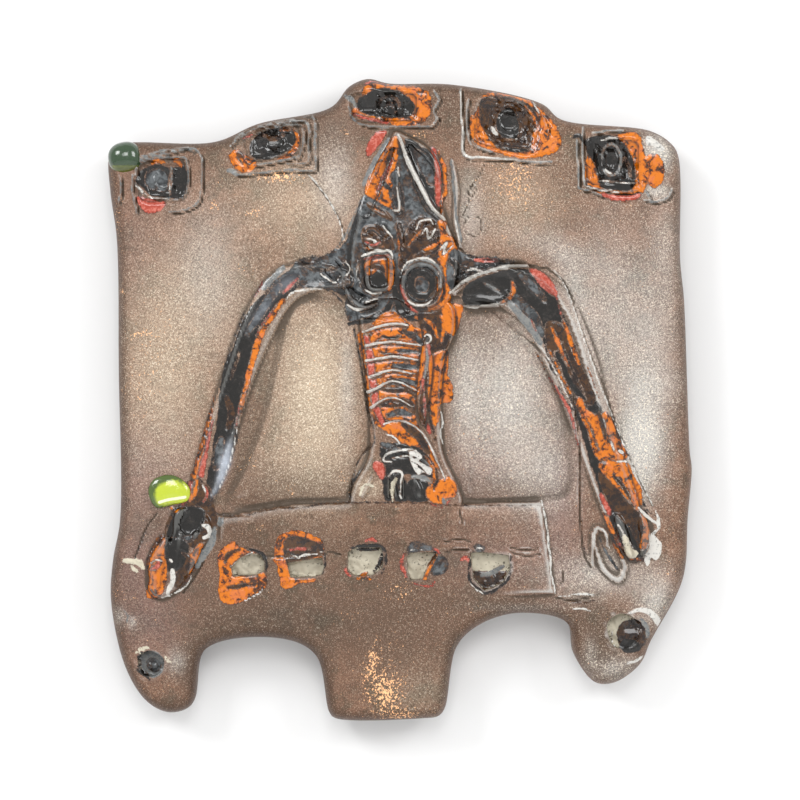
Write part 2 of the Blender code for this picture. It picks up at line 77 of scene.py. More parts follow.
class Wash(Enum):
    """Soft changes of tone of the body glaze, each a field of shares; the silver one is partly a painted
    sheen and the sheen one is a painted highlight.
    """

    TAN = "tan"
    # Silvery tone of the lustre, partly a painted sheen.
    SILVER_AND_SHEEN = "silver_and_sheen"
    SMOKE = "smoke"
    MAUVE = "mauve"
    COPPER = "copper"
    EDGE = "edge"
    # Painted highlight: bluish white light on the glossy glaze.
    PAINTED_HIGHLIGHT = "painted_highlight"


SLATE, DARK, UMBER, ORANGE, RED, ASH_AND_GLINT, PALE_AND_HIGHLIGHT, CLAY = Glaze
TAN, SILVER_AND_SHEEN, SMOKE, MAUVE, COPPER, EDGE, PAINTED_HIGHLIGHT = Wash


def place(points: list | float) -> np.ndarray:
    """Turns thousandths of the slab's height into millimetres."""
    return np.asarray(points, float) * THOUSANDTH


def closed(loop: np.ndarray) -> np.ndarray:
    """A loop with its first point again at its end."""
    return np.vstack([loop, loop[:1]])


def at_depth(loop: np.ndarray, depth: float | np.ndarray) -> np.ndarray:
    """Points of the face stood up at a depth: rows of x, y and z in millimetres."""
    return np.stack([loop[:, 0], np.full(len(loop), depth), loop[:, 1]], 1)


def smooth(points: np.ndarray, steps: int, ring: bool = False) -> np.ndarray:
    """Centripetal Catmull-Rom curve through points.

    Args:
        points: rows of coordinates, which may carry a width too.
        steps: number of steps between each two points.
        ring: whether the curve comes back to its start.

    Returns:
        Rows along the curve.
    """
    points = np.asarray(points, float)
    if ring:
        before, here = np.roll(points, 1, 0), points
        after, later = np.roll(points, -1, 0), np.roll(points, -2, 0)
    else:
        held = np.vstack([2 * points[0] - points[1], points, 2 * points[-1] - points[-2]])
        before, here, after, later = held[:-3], held[1:-2], held[2:-1], held[3:]
    knots = [np.zeros((len(here), 1))]
    for start, end in ((before, here), (here, after), (after, later)):
        knots.append(knots[-1] + np.maximum(np.linalg.norm(end - start, axis=1)[:, None], 1e-6) ** 0.5)
    k0, k1, k2, k3 = knots
    rows = []
    for share in np.arange(steps) / steps:
        k = k1 + (k2 - k1) * share
        a = ((k1 - k) * before + (k - k0) * here) / (k1 - k0)
        b = ((k2 - k) * here + (k - k1) * after) / (k2 - k1)
        c = ((k3 - k) * after + (k - k2) * later) / (k3 - k2)
        d = ((k2 - k) * a + (k - k0) * b) / (k2 - k0)
        e = ((k3 - k) * b + (k - k1) * c) / (k3 - k1)
        rows.append(((k2 - k) * d + (k - k1) * e) / (k2 - k1))
    curve = np.stack(rows, 1).reshape(-1, points.shape[1])
    return curve if ring else np.vstack([curve, points[-1]])


def divided(loop: np.ndarray, steps: int) -> np.ndarray:
    """Closed loop with straight sides, each divided into even steps."""
    share = np.arange(steps)[None, :, None] / steps
    return (loop[:, None] * (1 - share) + np.roll(loop, -1, 0)[:, None] * share).reshape(-1, 2)


def proudness(height: np.ndarray, corners: np.ndarray, rounds: int) -> np.ndarray:
    """How far each point stands over its surroundings: its height less the height after rounds of averaging.

    Args:
        height: height of each point.
        corners: triangles between the points.
        rounds: number of times that each point takes the mean of its neighbours.

    Returns:
        Millimetres over the surroundings, less than zero in a groove.
    """
    ties = np.vstack([corners[:, [0, 1]], corners[:, [1, 2]], corners[:, [2, 0]]])
    many = np.maximum(np.bincount(ties[:, 0], minlength=len(height)), 1)
    mean = height
    for _ in range(rounds):
        mean = 0.4 * mean + 0.6 * np.bincount(ties[:, 0], mean[ties[:, 1]], len(height)) / many
    return height - mean


def soft_step(value: np.ndarray) -> np.ndarray:
    """Goes from 0 to 1 with a level start and end while the value does."""
    held = np.clip(value, 0, 1)
    return held * held * (3 - 2 * held)


def larger(one: np.ndarray, other: np.ndarray, blend: float) -> np.ndarray:
    """The larger of two heights, with a fillet of the given blend where they meet."""
    return np.maximum(one, other) + np.maximum(blend - np.abs(one - other), 0) ** 2 / (4 * blend)


def ripple(points: np.ndarray, size: float, seed: int) -> np.ndarray:
    """Soft random field from -1 to 1: a lattice of random values, eased between its knots.

    Args:
        points: where the field is wanted.
        size: spacing of the lattice.
        seed: number that the random values start from.

    Returns:
        The field at each point.
    """
    shifted = points / size + 500.0
    cell = np.floor(shifted).astype(int)
    share = shifted - cell
    ease = share * share * (3 - 2 * share)
    cell -= cell.min(0)
    lattice = np.random.default_rng(seed).uniform(-1, 1, tuple(cell.max(0) + 2))
    (x, z), (right, up) = cell.T, ease.T
    low = lattice[x, z] * (1 - right) + lattice[x + 1, z] * right
    high = lattice[x, z + 1] * (1 - right) + lattice[x + 1, z + 1] * right
    return low * (1 - up) + high * up


def wander(points: np.ndarray, reach: float, size: float, seed: int) -> np.ndarray:
    """Points moved about by a soft random field in each direction."""
    shift = np.stack([ripple(points, size, seed), ripple(points, size, seed + 1)], 1)
    return points + shift * reach


def inside_loop(points: np.ndarray, loop: np.ndarray) -> np.ndarray:
    """Whether each point is inside a closed loop, by the odd number of edges to its right."""
    odd = np.zeros(len(points), bool)
    for start, end in zip(loop, np.roll(loop, -1, 0)):
        spans = (points[:, 1] < start[1]) != (points[:, 1] < end[1])
        if spans.any():
            rise = end[1] - start[1]
            crossing = start[0] + (points[spans, 1] - start[1]) * (end[0] - start[0]) / rise
            odd[spans] ^= points[spans, 0] < crossing
    return odd


def gap_to_line(points: np.ndarray, path: np.ndarray, far: float = FAR) -> np.ndarray:
    """Distance of each point from a polyline.

    Args:
        points: points to measure.
        path: points of the polyline.
        far: reach beyond which a distance counts as this one.

    Returns:
        The distances.
    """
    gap = np.full(len(points), far)
    for start, end in zip(path, path[1:]):
        low, high = np.minimum(start, end) - far, np.maximum(start, end) + far
        near = np.nonzero(((points > low) & (points < high)).all(1))[0]
        if len(near):
            along = end - start
            here = points[near] - start
            share = np.clip(here @ along / max(along @ along, TINY), 0, 1)
            gap[near] = np.minimum(gap[near], np.linalg.norm(here - share[:, None] * along, axis=1))
    return gap


def inside_by(points: np.ndarray, loop: np.ndarray, far: float = FAR) -> np.ndarray:
    """How far each point lies inside a closed loop, and less than zero outside."""
    gap = gap_to_line(points, closed(loop), far)
    return np.where(inside_loop(points, loop), gap, -gap)


def squarish(count: int, half_width: float, half_height: float, squareness: float) -> np.ndarray:
    """Loop of a superellipse about the origin: x = a cos^(2/n), z = b sin^(2/n)."""
    turn = np.arange(count) / count * 2 * np.pi
    power = 2 / squareness
    across = half_width * np.sign(np.cos(turn)) * np.abs(np.cos(turn)) ** power
    up = half_height * np.sign(np.sin(turn)) * np.abs(np.sin(turn)) ** power
    return np.stack([across, up], 1)


def turned(loop: np.ndarray, middle: tuple[float, float], tilt: float) -> np.ndarray:
    """A loop turned by a tilt in degrees and moved to its middle, which is in thousandths."""
    angle = np.radians(tilt)
    spin = np.array([[np.cos(angle), np.sin(angle)], [-np.sin(angle), np.cos(angle)]])
    return loop @ spin + place(middle)


@dataclass
class Face:
    """The front of the slab: a height over the face plane and glaze fields at scattered points."""

    points: np.ndarray
    height: np.ndarray = field(init=False)
    glazes: dict[Glaze, np.ndarray] = field(init=False)
    washes: dict[Wash, np.ndarray] = field(init=False)
    wavy: np.ndarray = field(init=False)
    proud: np.ndarray = field(init=False)
    least_half_width: float = 0.34
    end_share: float = 0.62
    clearance: float = 0.12
    margin: float = 3.0

    def __post_init__(self) -> None:
        """Starts level and bare, and makes the wandering copy of the points on which the glazes are laid."""
        count = len(self.points)
        self.height = np.zeros(count)
        self.glazes = {glaze: np.full(count, -FAR) for glaze in Glaze}
        self.washes = {wash: np.zeros(count) for wash in Wash}
        self.proud = np.zeros(count)
        self.wavy = wander(wander(self.points, 0.30, 4.0, 11), 0.16, 1.6, 13)

    def near(self, line: np.ndarray, margin: float) -> np.ndarray:
        """Indices of the points in a box round a line with a margin."""
        low, high = line[:, :2].min(0) - margin, line[:, :2].max(0) + margin
        return np.nonzero(((self.points > low) & (self.points < high)).all(1))[0]

    def within(self, loop: np.ndarray, margin: float, far: float = FAR) -> tuple:
        """Indices of the points in a box round a loop with a margin, and how far each is inside the loop."""
        chosen = self.near(loop, margin)
        return chosen, inside_by(self.points[chosen], loop, far)

    def along(self, path: np.ndarray, halves: np.ndarray, wavy: bool = False) -> tuple:
        """Measures points against a line of changing width.

        Args:
            path: rows of the line's points.
            halves: half width at each of them.
            wavy: whether the wandering points are measured, as for glazes.

        Returns:
            Indices of the points near the line, how far each is inside its edge, and its distance from the
            middle as a share of the half width.
        """
        chosen = self.near(path, float(np.max(halves)) + self.margin)
        here = (self.wavy if wavy else self.points)[chosen]
        inside = np.full(len(chosen), -FAR)
        share = np.full(len(chosen), FAR)
        for start, end, first, last in zip(path, path[1:], halves, halves[1:]):
            step = end - start
            part = np.clip((here - start) @ step / max(step @ step, TINY), 0, 1)
            gap = np.linalg.norm(here - start - part[:, None] * step, axis=1)
            half = np.maximum(first + (last - first) * part, 1e-3)
            inside = np.maximum(inside, half - gap)
            share = np.minimum(share, gap / half)
        return chosen, inside, share

    def lift(self, chosen: np.ndarray, target: np.ndarray, blend: float = 0.5) -> None:
        """Raises the face to a target height where that is higher."""
        self.height[chosen] = larger(self.height[chosen], target, blend)

    def sink(self, chosen: np.ndarray, target: np.ndarray, blend: float = 0.5) -> None:
        """Sinks the face to a target height where that is lower."""
        self.height[chosen] = -larger(-self.height[chosen], -target, blend)

    def raise_plate(self, outline: list, rise: float, shoulder: float) -> None:
        """Low plate with a soft shoulder inside a smooth closed outline."""
        loop = smooth(place(outline), 6, ring=True)
        chosen, inside = self.within(loop, 4.0)
        target = np.where(inside > 0, rise * soft_step(inside / shoulder) ** 0.7, inside * 2.0)
        self.lift(chosen, target, 0.6)

    def raise_line(self, points: list, rise: float, width: float = 0.0, blend: float = 0.5) -> None:
        """Raised line of round section.

        Args:
            points: places of the middle line, each with its half width as a third number or not.
            rise: height of its crest.
            width: its width in millimetres where the points have none.
            blend: size of the fillet at its foot.
        """
        curve = smooth(place(points), 6)
        path = curve[:, :2]
        halves = curve[:, 2] if curve.shape[1] > 2 else np.full(len(path), width / 2)
        fade = np.clip(1 - np.linspace(-1, 1, len(path)) ** 6, 0.12, 1) ** 0.5
        chosen, inside, share = self.along(path, halves * fade)
        top = rise * np.sqrt(np.clip(1 - share ** 2, 0, 1))
        self.lift(chosen, np.where(inside > 0, top, inside * 2.5), blend)

    def cut_line(self, points: list, depth: float, width: float, burr: float = 0.0) -> None:
        """Incised line of round section.

        Args:
            points: places of the middle line.
            depth: how far the groove lowers the face, or raises it where less than zero.
            width: width of the groove.
            burr: height of the clay pushed up along each side.
        """
        path = smooth(place(points), 6)[:, :2]
        chosen, inside, share = self.along(path, np.full(len(path), width / 2))
        groove = np.clip(1 - share ** 2, 0, 1) * depth
        side = np.exp(-((share - 1.35) / 0.35) ** 2) * burr
        self.height[chosen] += side - groove

    def cut_trough(self, points: list, top: float, depth: float, narrow: float = 0.0,
                   blend: float = 0.5) -> None:
        """Channel with a rounded floor.

        Args:
            points: places of the middle line with the half width at each.
            top: height from which the channel goes down.
            depth: depth of the floor below the top.
            narrow: how much narrower the channel is than its half widths say.
            blend: size of the fillet at its edge.
        """
        curve = smooth(place(points), 6)
        chosen, inside, share = self.along(curve[:, :2], np.maximum(curve[:, 2] - narrow, 0.4))
        floor = top - depth * (0.6 + 0.4 * np.sqrt(np.clip(1 - share ** 2, 0, 1)))
        self.sink(chosen, np.where(inside > 0, floor, top + 0.3 - inside * 3.0), blend)

    def open_hole(self, chosen: np.ndarray, share: np.ndarray, floor: np.ndarray, lip: np.ndarray) -> None:
        """Drops the face to a floor by the share of a hole's wall that is passed, with a lip round it."""
        share = np.clip(share, 0, 1)
        self.height[chosen] = (self.height[chosen] + lip) * (1 - share) + floor * share

    def lay(self, glaze: Glaze, chosen: np.ndarray, inside: np.ndarray) -> None:
        """Lays a glaze over what is there: its own field grows, and the others keep clear of it."""
        for kind, layer in self.glazes.items():
            if kind is glaze:
                layer[chosen] = np.maximum(layer[chosen], inside)
            else:
                layer[chosen] = np.minimum(layer[chosen], self.clearance - inside)

    def lines(self, glaze: Glaze, lines: list[tuple]) -> None:
        """Lays lines of a glaze.

        Args:
            glaze: the glaze.
            lines: half width and then points of each. Where it is 0, a point's third number is its own.
        """
        for half_width, *points in lines:
            curve = smooth(place(points), 5)
            taper = self.end_share + (1 - self.end_share) * np.sin(np.linspace(0, np.pi, len(curve)))
            halves = place(half_width) * taper if half_width else curve[:, 2]
            chosen, inside, _ = self.along(curve[:, :2], np.maximum(halves, self.least_half_width), True)
            self.lay(glaze, chosen, inside)

    def areas(self, glaze: Glaze, outlines: list[list]) -> None:
        """Lays areas of a glaze, each inside a smooth closed outline."""
        for outline in outlines:
            loop = smooth(place(outline), 4, ring=True)
            chosen = self.near(loop, self.margin)
            self.lay(glaze, chosen, inside_by(self.wavy[chosen], loop))

    def tint(self, wash: Wash, spots: list[tuple]) -> None:
        """Adds soft patches to a wash: exp(-r^2), where r is 1 at the spot's reach.

        Args:
            wash: the wash.
            spots: middle, two reaches and strength of each, and its tilt in degrees where it has one.
        """
        for x, y, across, up, strength, *tilt in spots:
            angle = np.radians(tilt[0] if tilt else 0.0)
            turn = np.array([[np.cos(angle), -np.sin(angle)], [np.sin(angle), np.cos(angle)]])
            here = (self.points - place((x, y))) @ turn
            share = np.exp(-((here / place((across, up))) ** 2).sum(1)) * strength
            self.washes[wash] += share * (1 - self.washes[wash])


class Section:
    """A part of the carving, which shapes the face and then glazes it, and may have openings."""

    wall: float = 0.0

    def openings(self) -> list[np.ndarray]:
        """Outlines of its openings, none unless a section says so."""
        return []

    def carve(self, face: Face) -> None:
        """Shapes the face."""

    def paint(self, face: Face) -> None:
        """Glazes the face."""


@dataclass
class LowerBand(Section):
    """Plate over the lower slab, with its incised lines and five small square windows."""

    rise: float = 1.7
    window_depth: float = 6.2
    wall: float = 0.35
    line_width: float = 1.4
    line_depth: float = 0.9
    fade_low: float = -240
    fade_reach: float = 50
    right_start: float = 120
    right_reach: float = 90
    umber_top: float = -266
    top: list = field(default_factory=lambda: [
        (-280, -184), (-250, -177), (-204, -167), (-156, -161), (-32, -159), (78, -161), (219, -157),
    ])
    bottom: list = field(default_factory=lambda: [(239, -302), (-286, -316)])

    def openings(self) -> list[np.ndarray]:
        """Closed outlines of the five windows in millimetres, each a little uneven."""
        shapes = [
            [(-263, -261), (-250, -245), (-231, -238), (-217, -240), (-210, -253), (-211, -267),
                (-225, -272), (-260, -275)],
            [(-177, -253), (-157, -250), (-122, -244), (-118, -259), (-122, -272), (-138, -276),
                (-171, -276)],
            [(-82, -236), (-69, -229), (-30, -229), (-26, -244), (-27, -261), (-41, -272), (-65, -276),
                (-82, -267)],
            [(9, -244), (15, -237), (55, -236), (57, -244), (44, -259), (34, -279), (15, -281), (11, -265)],
            [(108, -237), (127, -236), (168, -241), (171, -262), (161, -283), (143, -293), (130, -297),
                (113, -278)],
        ]
        return [divided(smooth(place(shape), 1, ring=True), 4) for shape in shapes]

    def carve(self, face: Face) -> None:
        """Raises the plate, cuts its lines and sinks its windows."""
        chosen, inside = face.within(place([*self.top, *self.bottom]), 3.0)
        down = np.clip((face.points[chosen, 1] - place(self.fade_low)) / place(self.fade_reach), 0, 1)
        right = soft_step((face.points[chosen, 0] - place(self.right_start)) / place(self.right_reach))
        face.height[chosen] += self.rise * np.maximum(down, right * 0.8) * soft_step(inside / 0.9)
        lines = [
            [(-208, -244), (-191, -244), (-177, -244)], [(-119, -239), (-107, -237), (-94, -240)],
            [(71, -236), (87, -233), (105, -233)], [(68, -220), (90, -217), (108, -219)],
            [(171, -230), (193, -233), (214, -231)], [(172, -237), (193, -242), (216, -240)],
            [(91, -169), (94, -183), (96, -192)], [(252, -267), (253, -276), (250, -286)],
        ]
        for line in lines:
            face.cut_line(line, self.line_depth * 0.7, self.line_width, 0.35)
        for loop in self.openings():
            chosen, inside = face.within(loop, 3.0)
            floor = ripple(face.points[chosen], 2.2, 71) * 0.35 - self.window_depth
            lip = np.exp(-((inside + 0.9) / 0.7) ** 2) * 0.12
            face.open_hole(chosen, inside / self.wall, floor, lip)

    def paint(self, face: Face) -> None:
        """Lays the glazes round each window and on its floor."""
        face.areas(ORANGE, [
            [(-283, -239), (-261, -220), (-247, -228), (-222, -239), (-207, -278), (-210, -292),
            (-244, -314), (-266, -318), (-280, -312), (-284, -293), (-281, -272)], [(-189, -212),
            (-157, -202), (-138, -209), (-119, -220), (-122, -247), (-172, -273), (-154, -278), (-135, -276),
            (-129, -281), (-150, -284), (-183, -293), (-191, -258), (-197, -247)]])
        face.areas(SLATE, [
            [(9, -231), (15, -222), (27, -219), (55, -231), (62, -239), (72, -247), (76, -259), (68, -270),
            (55, -273), (43, -265), (52, -250), (46, -234), (12, -239)], [(113, -226), (122, -223),
            (132, -230), (133, -237), (124, -242), (111, -240)]])
        face.areas(UMBER, [
            [(-178, -216), (-160, -212), (-122, -226), (-121, -239), (-157, -250), (-177, -253)]])
        face.lines(UMBER, [
            (3.9, (-272, -251), (-266, -239), (-250, -233)), (3.1, (-269, -292), (-225, -286))])
        face.areas(DARK, [[(-76, -228), (-30, -225), (-29, -236), (-44, -239), (-57, -236), (-71, -237)]])
        face.lines(DARK, [
            (3.4, (-239, -231), (-216, -239), (-208, -253), (-210, -269)), (1.9, (-119, -237), (-116, -253),
            (-121, -270)), (2.5, (-76, -230), (-34, -226), (-24, -234), (-23, -253), (-29, -270)),
            (3.1, (108, -242), (108, -281), (119, -292), (132, -300), (168, -278), (171, -244))])
        # Pale lines along the windows' edges, partly painted highlights.
        face.lines(PALE_AND_HIGHLIGHT, [
            (1.2, (15, -234), (23, -230), (34, -232)), (1.4, (115, -233), (122, -230), (130, -232)),
            (1.2, (108, -286), (118, -295), (129, -300)), (1.4, (-263, -259), (-230, -237)),
            (1.6, (-242, -312), (-219, -300), (-214, -293)), (0.6, (-207, -244), (-182, -244))])
        face.lines(RED, [
            (2.5, (-175, -233), (-138, -231)), (4.1, (-54, -219), (-46, -216), (-38, -220)),
            (2.5, (-85, -256), (-83, -267), (-76, -275)), (3.1, (5, -239), (2, -250), (4, -265), (9, -275)),
            (2.2, (18, -284), (46, -290), (55, -281)), (2.3, (49, -231), (58, -234), (62, -242)),
            (3.4, (94, -248), (101, -244), (105, -250))])
        face.lines(ORANGE, [(4.1, (-66, -276), (-57, -273), (-49, -278))])
        # Pale line along a window's top edge, partly a painted highlight.
        face.lines(PALE_AND_HIGHLIGHT, [
            (1.6, (-177, -247), (-171, -242), (-158, -245), (-154, -242), (-136, -240), (-122, -236))])
        face.tint(SMOKE, [
            (-172, -346, 148, 53, 0.85), (-250, -226, 94, 56, 0.45), (-16, -375, 78, 94, 0.35),
            (-79, -250, 171, 70, 0.42), (-266, -359, 62, 47, 0.35), (108, -312, 94, 34, 0.45)])
        face.tint(COPPER, [
            (-23, -452, 31, 37, 1), (-44, -409, 11, 31, 0.9, -12), (5, -490, 28, 11, 0.9),
            (-216, -200, 12, 6, 0.55), (-1, -300, 28, 16, 0.5), (108, -325, 39, 8, 0.35),
            (-76, -337, 16, 16, 0.35), (-9, -382, 31, 9, 0.35)])
        for loop in self.openings():
            chosen, inside = face.within(loop, 2.0)
            face.lay(CLAY, chosen, inside - 0.25)
        chosen, inside = face.within(self.openings()[-1], 2.0)
        low = place(self.umber_top) - face.points[chosen, 1]
        face.lay(UMBER, chosen, np.minimum(inside - 0.3, low))
        face.lines(ORANGE, [
            (0, (57, -240, 1.9), (46, -256, 3.4), (37, -276, 4.1)), (0, (-63, -275, 3.1), (-54, -270, 3.7))])
        face.lines(DARK, [
            (3.1, (-69, -233), (-34, -233)), (3.4, (-41, -267), (-32, -253), (-29, -239)),
            (0.9, (-263, -273), (-222, -272))])
        face.lines(ASH_AND_GLINT, [(4.7, (127, -273), (143, -269), (161, -259))])


@dataclass
class Stamps(Section):
    """Five stepped square stamps along the top edge, with nested lines pressed and pushed up round them."""

    steps: int = 3
    step: float = 1.3
    step_width: float = 2.6
    shift: float = 3.5
    line_width: float = 1.3
    line_depth: float = 0.8
    shapes: list = field(default_factory=lambda: [
        ((-370, 340), 40, 34, 2), ((-198, 400), 46, 28, 10), ((-26, 454), 54, 25, 1),
        ((166, 424), 52, 38, -12), ((330, 368), 42, 40, -6),
    ])
    frames: list = field(default_factory=lambda: [
        [(-411, 369), (-390, 377), (-359, 383), (-331, 391), (-313, 385), (-308, 367), (-309, 330),
            (-314, 307), (-331, 296), (-359, 291)],
        [(-403, 377), (-375, 385), (-334, 391), (-322, 386)],
        [(-415, 349), (-416, 327), (-412, 305), (-409, 290)],
        [(-411, 349), (-409, 361), (-397, 371), (-378, 375), (-350, 377), (-334, 374), (-330, 355),
            (-331, 330), (-339, 314), (-367, 312), (-390, 316), (-403, 325), (-411, 336)],
        [(-436, 349), (-434, 327), (-437, 308)],
        [(-263, 394), (-241, 422), (-216, 431), (-180, 437), (-136, 441), (-133, 413), (-133, 382),
            (-133, 357), (-172, 357), (-216, 352), (-256, 349)],
        [(-250, 406), (-228, 421), (-194, 428), (-150, 433), (-143, 427), (-143, 396), (-144, 369),
            (-175, 366)],
        [(-231, 410), (-210, 419), (-182, 425), (-154, 426), (-150, 408), (-154, 386), (-161, 372)],
        [(-228, 364), (-207, 367), (-182, 372), (-163, 377)],
        [(-79, 455), (-72, 435), (-51, 425), (-16, 423), (21, 424), (49, 425), (58, 439)],
        [(52, 480), (60, 467), (52, 449), (58, 435)],
        [(93, 483), (94, 455), (96, 420), (99, 378), (124, 375), (161, 374), (202, 369), (236, 369)],
        [(105, 466), (103, 442), (104, 417), (110, 397), (125, 389), (143, 385)],
        [(200, 473), (213, 455), (224, 433), (230, 414)],
        [(274, 402), (275, 374), (277, 349), (278, 329), (295, 324), (313, 316)],
        [(284, 424), (283, 396), (284, 364), (288, 332), (314, 327), (342, 322), (367, 325)],
        [(299, 414), (317, 417), (345, 418)], [(311, 406), (327, 407), (342, 406)],
        [(306, 343), (327, 340), (352, 338), (367, 336)], [(359, 386), (364, 364), (367, 339)],
        [(378, 310), (397, 308), (414, 314), (422, 327)], [(375, 333), (383, 321), (389, 311)],
    ])
    swirls: list = field(default_factory=lambda: [
        ((170, 431), 0.95, (15, 25, 34)), ((327, 372), 1.5, (9, 16, 23)), ((-16, 457), 0.95, (8, 16, 23)),
        ((-366, 340), 0.9, (16,)), ((-196, 400), 0.8, (14,)),
    ])

    def carve(self, face: Face) -> None:
        """Sinks each stamp in steps and presses the lines round it."""
        for middle, half_width, half_height, tilt in self.shapes:
            loop = turned(squarish(48, *place([half_width, half_height]), 5.0), middle, tilt)
            chosen, inside = face.within(loop, 2.0)
            for number in range(self.steps):
                face.height[chosen] -= self.step * soft_step((inside - number * self.step_width) / 0.7)
        for line in self.frames:
            face.cut_line(line, -self.line_depth * 0.9, self.line_width * 1.1)
            inner = [(x + self.shift, z - self.shift) for x, z in line]
            face.cut_line(inner, self.line_depth, self.line_width * 0.8)
        for middle, tall, reaches in self.swirls:
            for reach in reaches:
                ring = squarish(20, reach, reach * tall, 2.2) + np.asarray(middle)
                face.cut_line([*ring, ring[0]], -0.9, 1.5)

    def paint(self, face: Face) -> None:
        """Lays the dark, orange and red pools of the stamps and the painted pale highlights and grey glints
        on their lines.
        """
        # Painted grey glints along the raised frame lines.
        for line in self.frames:
            path = smooth(place(line), 5)
            chosen, inside, _ = face.along(path, np.full(len(path), 0.38), wavy=True)
            face.lay(ASH_AND_GLINT, chosen, inside)
        face.areas(ORANGE, [
            [(-267, 378), (-255, 389), (-241, 382), (-227, 374), (-222, 364), (-231, 355), (-244, 353),
            (-261, 363)], [(-60, 484), (-41, 498), (-16, 492), (15, 489), (43, 478), (49, 461), (43, 436),
            (21, 425), (-76, 442), (-72, 455), (-60, 467)], [(107, 439), (118, 449), (133, 473), (186, 478),
            (250, 408), (242, 385), (186, 374), (136, 389), (115, 400)], [(358, 417), (370, 413), (376, 392),
            (384, 366), (384, 339), (375, 319), (361, 308), (333, 308), (289, 336), (289, 377), (320, 405)],
            [(381, 378), (397, 382), (411, 361), (408, 339), (394, 327), (383, 343)]])
        face.areas(UMBER, [
            [(127, 463), (149, 472), (177, 470), (199, 459), (213, 439), (214, 422), (205, 413), (202, 392),
            (155, 389), (124, 433)]])
        face.lines(UMBER, [(1.9, (-253, 377), (-246, 367))])
        face.areas(DARK, [
            [(-411, 338), (-406, 353), (-392, 363), (-375, 366), (-359, 361), (-334, 363), (-337, 314),
            (-366, 314), (-390, 319), (-401, 330)], [(155, 449), (168, 455), (180, 445), (183, 408),
            (168, 405), (152, 414), (149, 433)], [(289, 405), (330, 410), (352, 392), (364, 366), (361, 327),
            (311, 330), (305, 349), (299, 371), (289, 386)]])
        face.lines(DARK, [
            (2.2, (133, 436), (143, 461), (164, 469), (186, 461), (200, 439), (200, 414)), (3.7, (158, 392),
            (180, 388), (199, 389)), (3.7, (269, 408), (277, 410), (289, 396))])
        face.areas(RED, [[(-411, 316), (-378, 310), (-364, 308), (-367, 297), (-387, 288), (-401, 294)]])
        face.lines(RED, [
            (2.3, (-246, 405), (-228, 413)), (3.1, (-72, 444), (-48, 435), (-19, 430)), (3.1, (-54, 491),
            (-41, 497), (-23, 491)), (5, (314, 318), (336, 313), (361, 314), (372, 319))])
        face.lines(ASH_AND_GLINT, [
            (0, (-267, 357, 3.7), (-258, 353, 4.1)), (4.1, (-85, 472), (-76, 466), (-69, 456)),
            (2, (313, 374), (317, 391), (328, 398), (339, 389), (344, 371), (337, 352), (323, 349),
            (314, 358))])
        face.areas(PALE_AND_HIGHLIGHT, [[(383, 410), (411, 389), (403, 385), (392, 394), (383, 396)]])
        # Pale lines of the stamps, partly painted highlights.
        face.lines(PALE_AND_HIGHLIGHT, [
            (2.8, (143, 424), (146, 416), (150, 413)), (1.2, (161, 406), (171, 403), (182, 405)),
            (1.9, (93, 481), (97, 413), (100, 380), (130, 376), (174, 372)), (1.4, (311, 403), (325, 406),
            (337, 405)), (1.4, (289, 332), (311, 325), (339, 321)), (1.9, (319, 358), (323, 353),
            (330, 353))])
        face.areas(DARK, [
            [(-233, 400), (-216, 417), (-169, 422), (-161, 405), (-168, 391), (-203, 374), (-227, 375),
            (-236, 386)], [(-68, 461), (-38, 483), (-16, 484), (24, 458), (18, 444), (2, 438), (-48, 441),
            (-63, 449)]])
        face.lines(ORANGE, [
            (4.1, (-163, 416), (-158, 403), (-174, 380), (-191, 374)), (2.8, (127, 470), (149, 480),
            (177, 478), (202, 466)), (2.8, (193, 456), (207, 439), (211, 424)), (2.8, (291, 380), (294, 361),
            (305, 339))])
        face.lines(UMBER, [
            (3.7, (-213, 411), (-197, 406), (-182, 413)), (2.5, (350, 377), (356, 361), (358, 346))])
        face.areas(SLATE, [[(-394, 355), (-369, 358), (-362, 343), (-366, 324), (-387, 327), (-397, 336)]])
        face.lines(SLATE, [
            (1.9, (-88, 469), (-80, 475)), (1.6, (-32, 466), (-19, 472), (-5, 466), (-1, 455), (-10, 445)),
            (2.5, (-24, 456), (-16, 461), (-12, 453))])
        face.lines(ASH_AND_GLINT, [(2, (-356, 361), (-359, 318))])
        face.lines(ORANGE, [
            (4.1, (-387, 367), (-378, 371), (-366, 369)), (4.7, (-353, 372), (-345, 371), (-341, 364)),
            (1.9, (-188, 419), (-166, 420))])
        face.lines(DARK, [(2.5, (124, 449), (127, 464), (143, 472))])
        face.lines(PALE_AND_HIGHLIGHT, [
            (0.8, (-358, 358), (-359, 327)), (1.2, (-411, 333), (-387, 315), (-362, 312)), (0.8, (200, 472),
            (216, 445)), (1.2, (308, 341), (364, 335))])
        face.tint(SILVER_AND_SHEEN, [(401, 389, 25, 34, 0.95), (397, 324, 19, 12, 0.7)])
        face.tint(COPPER, [
            (-288, 300, 9, 9, 0.75), (-231, 290, 19, 8, 0.7), (-191, 346, 37, 12, 0.8),
            (-278, 336, 6, 9, 0.6), (-88, 416, 8, 5, 0.8), (-216, 261, 22, 12, 0.35),
            (180, 330, 41, 34, 0.62), (174, 361, 25, 12, 0.5), (34, 411, 22, 5, 0.7)])


